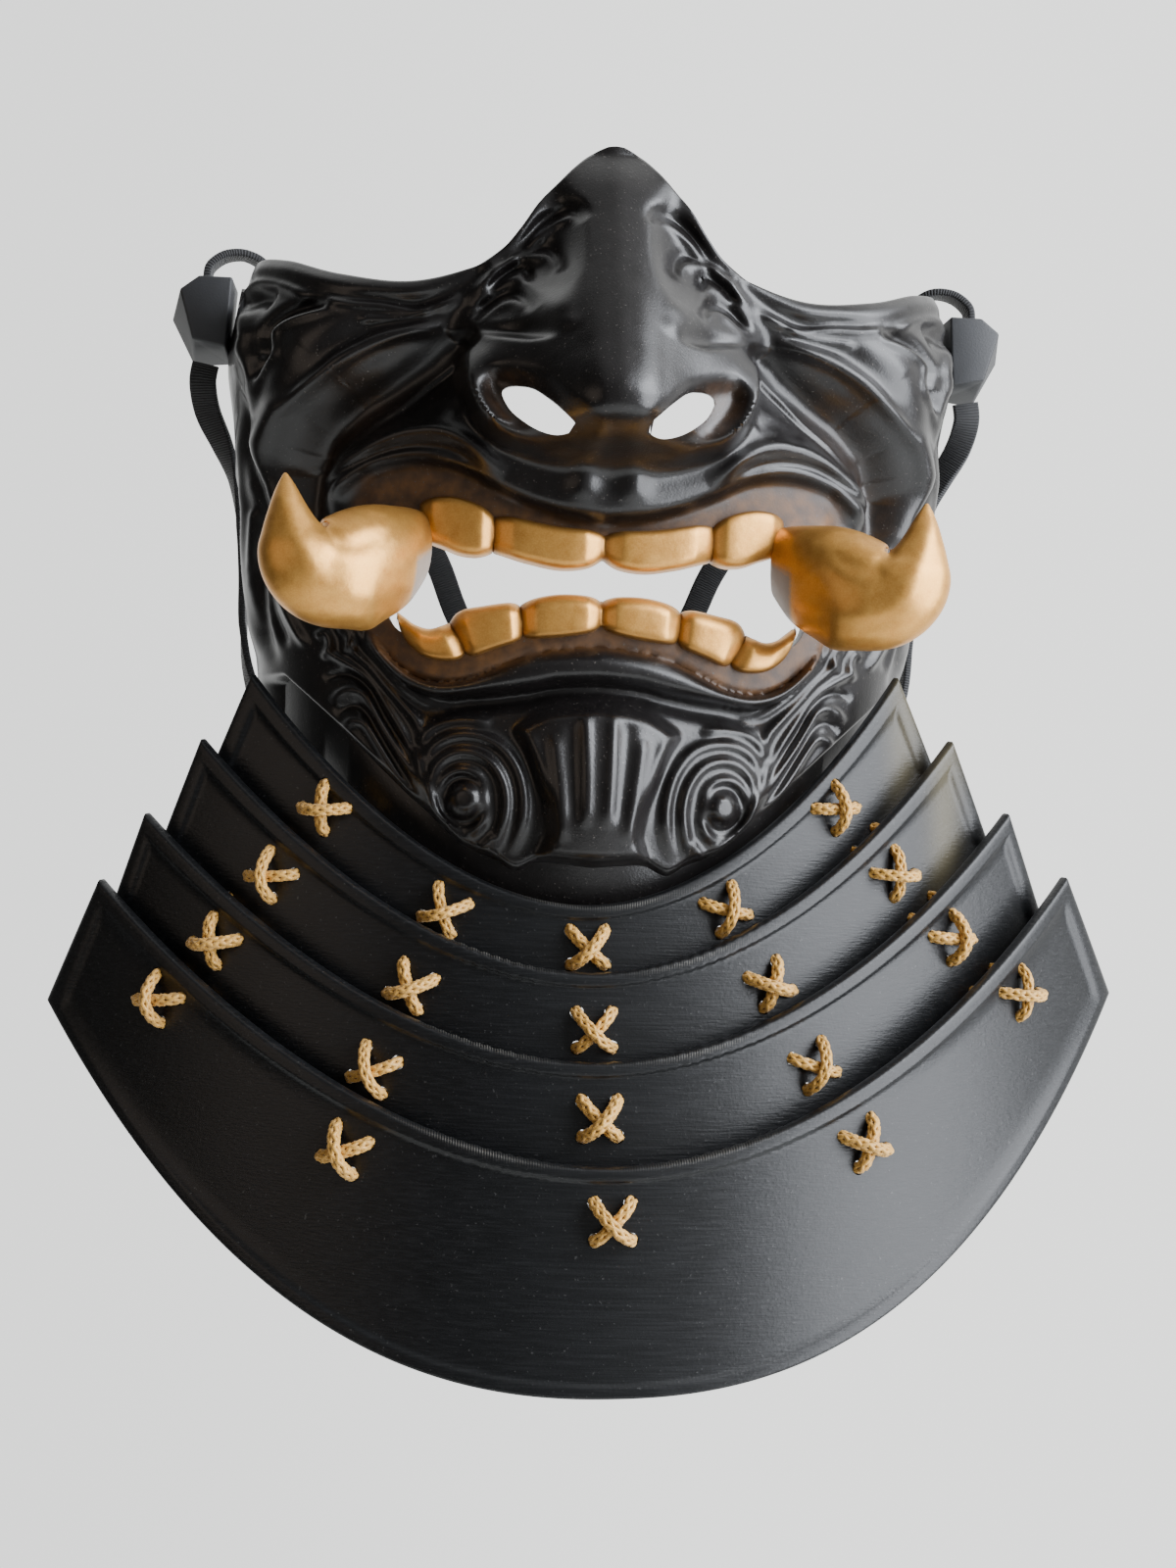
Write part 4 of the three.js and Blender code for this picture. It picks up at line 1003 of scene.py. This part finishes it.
plateList = [
    {"top": -80, "bottom": -102, "corner": (76, -28), "side": (86, -51), "bottomPower": 2,
     "front": 64, "slip": -1.5, "crosses": [(0, -89), (31.5, -81), (58.5, -58.5)]},
    {"top": -94, "bottom": -120, "corner": (88, -43), "side": (98, -68), "bottomPower": 2,
     "front": 73, "slip": -0.8, "crosses": [(0, -106), (39.6, -97), (71, -73.5)]},
    {"top": -112, "bottom": -140, "corner": (101, -60), "side": (111, -87), "bottomPower": 2,
     "front": 82.8, "slip": -0.4, "crosses": [(0, -123.4), (47.8, -114), (83.5, -88)]},
    {"top": -132, "bottom": -177.8, "corner": (113, -75), "side": (126, -103), "bottomPower": 2.4,
     "front": 93.8, "slip": 1.4, "crosses": [(0, -142.7), (55.5, -129.5), (97.5, -100.5)]},
]

lace = {
    "radius": 1.35,
    "holeRadius": 1.5,
    "reach": 3.75,  # from a cross's middle to its holes, both ways
    "clear": 0.4,
    "lowerHoles": 4.2,  # above the plate's bottom edge
    "holeSides": 20,
}


def edgeHeight(middle, corner, power, x):
    return middle + (corner[1] - middle) * (np.abs(x) / corner[0]) ** power


def topOf(plate, x):
    return edgeHeight(plate["top"], plate["corner"], plates["topPower"], x)


def bottomOf(plate, x):
    return edgeHeight(plate["bottom"], plate["side"], plate["bottomPower"], x)


def platePoint(plate, x, z, out):
    # a point so far in front of the plate's front face, with the plates hung a little turned
    x, z, out = np.broadcast_arrays(np.asarray(x, float), z, out)
    y = -plate["front"] - plates["flare"] * (plate["top"] - z) + plates["bend"] * x * x
    slope = 2 * plates["bend"] * x
    size = np.sqrt(slope ** 2 + 1 + plates["flare"] ** 2)
    x = x + slope / size * out
    y = y - out / size
    z = z - plates["flare"] / size * out
    px, pz = plates["hangPoint"]
    c, s = math.cos(plates["hangTurn"]), math.sin(plates["hangTurn"])
    turnedX = px + plate["slip"] + c * (x - px) - s * (z - pz)
    return np.stack([turnedX, y, pz + s * (x - px) + c * (z - pz)], -1)


def crossFrame(plate, column):
    # a cross's middle and its two directions on the plate
    side = int(np.sign(column - 2))
    x, z = plate["crosses"][abs(column - 2)]
    tilt = math.atan((topOf(plate, x + 1) - topOf(plate, x - 1)) / 2)
    return {
        "middle": (side * x, z),
        "along": (math.cos(tilt), side * math.sin(tilt)),
        "up": (-side * math.sin(tilt), math.cos(tilt)),
    }


def nearCross(plate, place, s, t, out):
    x = place["middle"][0] + place["along"][0] * s + place["up"][0] * t
    z = place["middle"][1] + place["along"][1] * s + place["up"][1] * t
    return platePoint(plate, x, z, out)


def lowerHoleDrop(plate, place):
    # how far below the cross the holes near the bottom edge are
    drop = lace["reach"]
    while True:
        x = place["middle"][0] - place["up"][0] * drop
        z = place["middle"][1] - place["up"][1] * drop
        if (z - bottomOf(plate, x)) * place["along"][0] <= lace["lowerHoles"]:
            return drop
        drop += 0.25


def holeCutters(plate, last):
    # all the lace holes of a plate as one object of separate cylinders
    sides = lace["holeSides"]
    vertices, faces = [], []
    for column in range(5):
        place = crossFrame(plate, column)
        drops = [lace["reach"], -lace["reach"]]
        if not last:
            drops.append(-lowerHoleDrop(plate, place))
        for drop in drops:
            for s in (-lace["reach"], lace["reach"]):
                start = nearCross(plate, place, s, drop, 3)
                end = nearCross(plate, place, s, drop, -plates["thickness"] - 3)
                axis = Vector(end - start).normalized()
                across = axis.orthogonal().normalized()
                up = axis.cross(across)
                first = len(vertices)
                for point in (start, end):
                    for k in range(sides):
                        angle = 2 * math.pi * k / sides
                        spoke = across * math.cos(angle) + up * math.sin(angle)
                        vertices.append(point + np.array(spoke) * lace["holeRadius"])
                faces += [tuple(first + k for k in face) for face in tubeFaces(2, sides)]
    return meshObject("holeCutters", vertices, faces, None)


def makePlate(number, plate):
    depth = math.hypot(plate["side"][0] - plate["corner"][0], plate["side"][1] - plate["corner"][1])
    middleDepth = plate["top"] - plate["bottom"]
    # fine spacing near the edges, for the rolled rim
    fine = np.array([0, 0.15, 0.4, 0.8, 1.6, 2.3, 2.6, 2.9, 3.2, 3.7])
    up = np.concatenate([fine, np.linspace(4.5, middleDepth - 4.5, 12), middleDepth - fine[::-1]])
    up = (up / middleDepth)[:, None]
    half = plate["corner"][0]
    across = np.concatenate([fine, np.linspace(4.5, 2 * half - 4.5, plates["columns"]),
                             2 * half - fine[::-1]])
    across = (across / half - 1)[None, :]
    topX, bottomX = across * plate["corner"][0], across * plate["side"][0]
    x = lerp(bottomX, topX, up)
    topZ = topOf(plate, topX)
    # printed steps show on both sides of the top edge's middle
    if number > 1:
        topZ = topZ + plates["stepHeight"] * np.sign(np.sin(topX * 2.6)) * bell((np.abs(topX) - 22) / 16)
    z = lerp(bottomOf(plate, bottomX), topZ, up)
    slope = np.abs(2 * (plate["corner"][1] - plate["top"]) * topX / plate["corner"][0] ** 2)
    tall = lerp(middleDepth, depth, np.abs(across) ** 2)
    fromTop = (1 - up) * tall / np.sqrt(1 + slope ** 2)
    fromBottom = up * tall / np.sqrt(1 + slope ** 2)
    fromSide = (1 - np.abs(across)) * half * np.ones_like(up)
    inset = np.minimum(np.minimum(fromTop, fromBottom), fromSide)
    step = plates["rimStep"] * smooth(inset, plates["rimWidth"] - 0.9, plates["rimWidth"] + 0.5)
    radius = plates["edgeRadius"]
    edge = radius - np.sqrt(np.maximum(radius ** 2 - np.maximum(radius - inset, 0) ** 2, 0))
    front = platePoint(plate, x, z, -step - edge)
    back = platePoint(plate, x, z, -plates["thickness"] + edge)
    vertices, faces, _ = sheetSolid(front, back, np.ones((up.size - 1, across.size - 1), bool))
    piece = meshObject(f"neckPlate{number}", vertices, faces, satin, sharpAngle=55)
    cutters = holeCutters(plate, plate is plateList[-1])
    cut = piece.modifiers.new("holes", "BOOLEAN")
    cut.operation = "DIFFERENCE"
    cut.solver = "EXACT"
    cut.object = cutters
    bakeModifiers(piece)
    bpy.data.objects.remove(cutters)
    piece.data.set_sharp_from_angle(angle=math.radians(40))
    # a paler tan patch on the right ends of the first two plates, and painted highlights on the printed steps
    # of the top edges
    places = np.empty(len(piece.data.vertices) * 3, np.float32)
    piece.data.vertices.foreach_get("co", places)
    places = places.reshape(-1, 3) / mm
    # a paler tan patch on the right ends of the first two plates
    along = (places[:, 0] - 66 - 9 * number) / 4.5
    tanPatch = 0.22 * bell(along) if number < 3 else np.zeros(len(places))
    addAttribute(piece, "tanPatch", tanPatch)
    # painted highlights on the steps near the top edge's middle
    below = topOf(plate, places[:, 0]) - places[:, 2]
    middle = 24 if number > 1 else 12
    stepGlints = 0.35 * bell((below - 0.2) / 0.4) * bell((np.abs(places[:, 0]) - middle) / 12)
    addAttribute(piece, "stepGlints", stepGlints)
    placeInFrame(piece, f"neck_plate_{number}")


for index, plate in enumerate(plateList):
    makePlate(index + 1, plate)
print("plates made")


braid = {
    "strands": 8,
    "spread": 0.86,  # mm from the cord's middle to its strands
    "strandRadius": 0.5,
    "pitch": 10.0,  # mm of cord for one turn of a strand
    "weave": 0.14,  # how far a strand moves in and out
    "step": 0.55,
}


def cornersCut(points, rounds):
    points = np.array(points, float)
    for _ in range(rounds):
        near = points[:-1] * 0.75 + points[1:] * 0.25
        far = points[:-1] * 0.25 + points[1:] * 0.75
        points = np.concatenate([points[:1], np.stack([near, far], 1).reshape(-1, 3), points[-1:]])
    return points


def laceHalf(column, side, over):
    # one end of a column's cord, crossing to the other side on every plate
    near = lace["radius"] + lace["clear"]
    behind = -(plates["thickness"] + near)
    reach = lace["reach"]
    points = []
    s = side * reach
    for index, plate in enumerate(plateList):
        place = crossFrame(plate, column)
        swapped = column == 1 and index in (1, 2)
        top = 3 * lace["radius"] + 2 * lace["clear"] if over != swapped else near
        for turn, spread, out in ((1, 1.14, behind), (1, 0.97, near * 0.5), (0, 0, top),
                                  (-1, 0.97, near * 0.5), (-1, 1.14, behind)):
            points.append(nearCross(plate, place, turn * s * spread, turn * reach * spread, out))
        s = -s
        if index < len(plateList) - 1:
            drop = lowerHoleDrop(plate, place)
            points.append(nearCross(plate, place, s, -drop, behind))
            points.append(nearCross(plate, place, s, -drop, near))
        else:
            points.append(nearCross(plate, place, s, -reach - 6, behind))
    return points


def braidTree(strandMaterial, coreShadeMaterial):
    # strands wound both ways round a line, each passing over and under the others
    tree = bpy.data.node_groups.new("braid", "GeometryNodeTree")
    face = tree.interface
    face.new_socket("Geometry", in_out="INPUT", socket_type="NodeSocketGeometry")
    face.new_socket("strands", in_out="INPUT", socket_type="NodeSocketInt")
    for name in ("spread", "strandRadius", "pitch", "weave", "step"):
        face.new_socket(name, in_out="INPUT", socket_type="NodeSocketFloat")
    face.new_socket("Geometry", in_out="OUTPUT", socket_type="NodeSocketGeometry")
    given = addNode(tree, "NodeGroupInput").outputs

    def maths(operation, first, second=0.0):
        return addNode(tree, "ShaderNodeMath", {0: first, 1: second}, operation=operation)

    def scaled(vector, factor):
        return addNode(tree, "ShaderNodeVectorMath", {0: vector, "Scale": factor}, operation="SCALE")

    line = addNode(tree, "GeometryNodeMeshToCurve", {"Mesh": given["Geometry"]})
    line = addNode(tree, "GeometryNodeResampleCurve", {"Curve": line, "Length": given["step"]}, mode="LENGTH")
    capture = addNode(tree, "GeometryNodeCaptureAttribute", {"Geometry": line}, domain="POINT")
    for name, kind, source in (("Normal", "VECTOR", "GeometryNodeInputNormal"),
                               ("Tangent", "VECTOR", "GeometryNodeInputTangent"),
                               ("Length", "FLOAT", "GeometryNodeSplineParameter")):
        capture.capture_items.new(kind, name)
        setInputs(tree, capture, {name: addNode(tree, source).outputs[name]})
    across = capture.outputs["Normal"]
    other = addNode(tree, "ShaderNodeVectorMath", {0: capture.outputs["Tangent"], 1: across},
                    operation="CROSS_PRODUCT")
    copies = addNode(tree, "GeometryNodeDuplicateElements",
                     {"Geometry": capture, "Amount": given["strands"]}, domain="SPLINE")
    number = copies.outputs["Duplicate Index"]
    odd = maths("MODULO", number, 2.0)
    direction = maths("SUBTRACT", 1.0, maths("MULTIPLY", odd, 2.0))
    turns = maths("DIVIDE", capture.outputs["Length"], given["pitch"])
    start = maths("DIVIDE", maths("FLOOR", maths("DIVIDE", number, 2.0)),
                  maths("DIVIDE", given["strands"], 2.0))
    angle = maths("MULTIPLY", maths("ADD", maths("MULTIPLY", turns, direction), start), 2 * math.pi)
    beat = maths("MULTIPLY", turns, given["strands"])
    wave = maths("SINE", maths("MULTIPLY", maths("ADD", beat, odd), math.pi))
    spread = maths("ADD", given["spread"], maths("MULTIPLY", wave, given["weave"]))
    offset = addNode(tree, "ShaderNodeVectorMath", {
        0: scaled(across, maths("MULTIPLY", maths("COSINE", angle), spread)),
        1: scaled(other, maths("MULTIPLY", maths("SINE", angle), spread))}, operation="ADD")
    moved = addNode(tree, "GeometryNodeSetPosition", {"Geometry": copies, "Offset": offset})
    joined = addNode(tree, "GeometryNodeJoinGeometry")
    # the cord's middle in painted shade, and the strands round it
    for path, sides, radius, material in ((line, 10, "spread", coreShadeMaterial),
                                          (moved, 6, "strandRadius", strandMaterial)):
        circle = addNode(tree, "GeometryNodeCurvePrimitiveCircle",
                         {"Resolution": sides, "Radius": given[radius]})
        tube = addNode(tree, "GeometryNodeCurveToMesh",
                       {"Curve": path, "Profile Curve": circle, "Fill Caps": True})
        tube = addNode(tree, "GeometryNodeRealizeInstances", {"Geometry": tube})
        tube = addNode(tree, "GeometryNodeSetMaterial", {"Geometry": tube, "Material": material})
        setInputs(tree, joined, {"Geometry": tube})
    smoothed = addNode(tree, "GeometryNodeSetShadeSmooth", {"Geometry": joined})
    addNode(tree, "NodeGroupOutput", {"Geometry": smoothed})
    return tree


def makeLace(number, tree):
    # both halves of a column's cord, joined by a run behind the first plate
    column = number - 1
    route = cornersCut(laceHalf(column, -1, False)[::-1] + laceHalf(column, 1, True), 3)
    edges = [(i, i + 1) for i in range(len(route) - 1)]
    mesh = bpy.data.meshes.new(f"neckLace{number}")
    mesh.from_pydata((route * mm).tolist(), edges, [])
    piece = linked(f"neckLace{number}", mesh)
    modifier = piece.modifiers.new("braid", "NODES")
    modifier.node_group = tree
    values = {name: size * mm for name, size in braid.items() if name != "strands"}
    values["strands"] = braid["strands"]
    for item in tree.interface.items_tree:
        if item.in_out == "INPUT" and item.name in values:
            modifier[item.identifier] = values[item.name]
    bakeModifiers(piece)
    placeInFrame(piece, f"neck_lace_{number}")


tree = braidTree(cordYarn, coreShade)
for number in range(1, 6):
    makeLace(number, tree)
print("laces made")


blocks = {"bevel": 0.6, "segments": 3, "sharpAngle": 35}


def softenedCopy(name, node):
    # the node's own solid, merged and with softened edges
    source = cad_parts[node]
    mesh = source.data.copy()
    mesh.name = name
    mesh.transform(source.matrix_world)
    work = bmesh.new()
    work.from_mesh(mesh)
    bmesh.ops.remove_doubles(work, verts=work.verts, dist=0.00001)
    bmesh.ops.dissolve_limit(work, angle_limit=0.01, verts=work.verts, edges=work.edges)
    edges = [edge for edge in work.edges if edge.calc_face_angle(0) > 0.3]
    bmesh.ops.bevel(work, geom=edges, offset=blocks["bevel"] * mm, segments=blocks["segments"],
                    profile=0.5, affect="EDGES", clamp_overlap=True)
    bmesh.ops.recalc_face_normals(work, faces=work.faces)
    work.to_mesh(mesh)
    work.free()
    mesh.materials.clear()
    mesh.materials.append(blockGrey)
    mesh.shade_smooth()
    mesh.set_sharp_from_angle(angle=math.radians(blocks["sharpAngle"]))
    placeInFrame(linked(name, mesh), node)


softenedCopy("strapBlockRight", "strap_block_right")
softenedCopy("strapBlockLeft", "strap_block_left")
print("blocks made")


# Floor, backdrop and light, in metres.
studio = {
    "floorHeight": -0.62,
    "floorRadius": 0.8,
    "floorSides": 64,
    "ground": "#dcddda",
    "wallColour": "#dddedd",
    "least": 0.08,  # no direction is darker
    # direction's axis, from where to where it changes, and the light at either end
    "world": [("Y", 0.05, 0.6, 0.28, 2.2),  # a dim room in front, a bright wall behind
              ("Z", 0.5, 1.0, 0.0, 0.35),  # ceiling
              ("X", -0.2, 0.2, 0.0, 0.35),  # lighter on the right
              ("X", -0.9, -0.35, -1.5, 0.0)],  # dark far left
    "lightsAim": (0, -0.05, -0.05),
    # name, place, width, height, power and colour
    "lights": [("windowRight", (0.85, -0.52, 0.12), 0.8, 1.5, 38, "#f4f8ff"),
               ("fillLeft", (-0.9, -0.6, 0.1), 0.6, 0.8, 1.2, "#ffe9d6"),
               ("windowTop", (0.66, -0.36, 0.60), 0.9, 0.7, 9, "#f4f8ff")],
}


def areaLight(name, place, width, height, power, colour):
    data = bpy.data.lights.new(name, "AREA")
    data.shape = "RECTANGLE"
    data.size, data.size_y = width, height
    data.energy = power
    data.color = linear(colour)[:3]
    light = linked(name, data)
    light.location = place
    light.rotation_euler = (Vector(studio["lightsAim"]) - Vector(place)).to_track_quat("-Z", "Y").to_euler()


def makeWorld():
    # an even pale wall behind the object, and a dimmer room in front of it
    world = bpy.data.worlds.new("studioWorld")
    world.use_nodes = True
    tree = world.node_tree
    direction = addNode(tree, "ShaderNodeTexCoord").outputs["Generated"]
    parts = addNode(tree, "ShaderNodeSeparateXYZ", {"Vector": direction}).outputs
    strength = 0.0
    for axis, low, high, least, most in studio["world"]:
        part = addNode(tree, "ShaderNodeMapRange", {
            "Value": parts[axis], "From Min": low, "From Max": high, "To Min": least, "To Max": most},
            interpolation_type="SMOOTHSTEP")
        strength = addNode(tree, "ShaderNodeMath", {0: strength, 1: part}, operation="ADD")
    strength = addNode(tree, "ShaderNodeMath", {0: strength, 1: studio["least"]}, operation="MAXIMUM")
    setInputs(tree, tree.nodes["Background"], {"Color": studio["wallColour"], "Strength": strength})
    bpy.context.scene.world = world


def makeStudio():
    radius, height = studio["floorRadius"] / mm, studio["floorHeight"] / mm
    turns = np.linspace(0, 2 * math.pi, studio["floorSides"], endpoint=False)
    corners = [(radius * math.cos(t), radius * math.sin(t), height) for t in turns]
    floor = meshObject("studioFloor", corners, [tuple(range(len(corners)))], backdropPaper(studio["ground"]))
    makeWorld()
    for light in studio["lights"]:
        areaLight(*light)


makeStudio()
print("studio made")
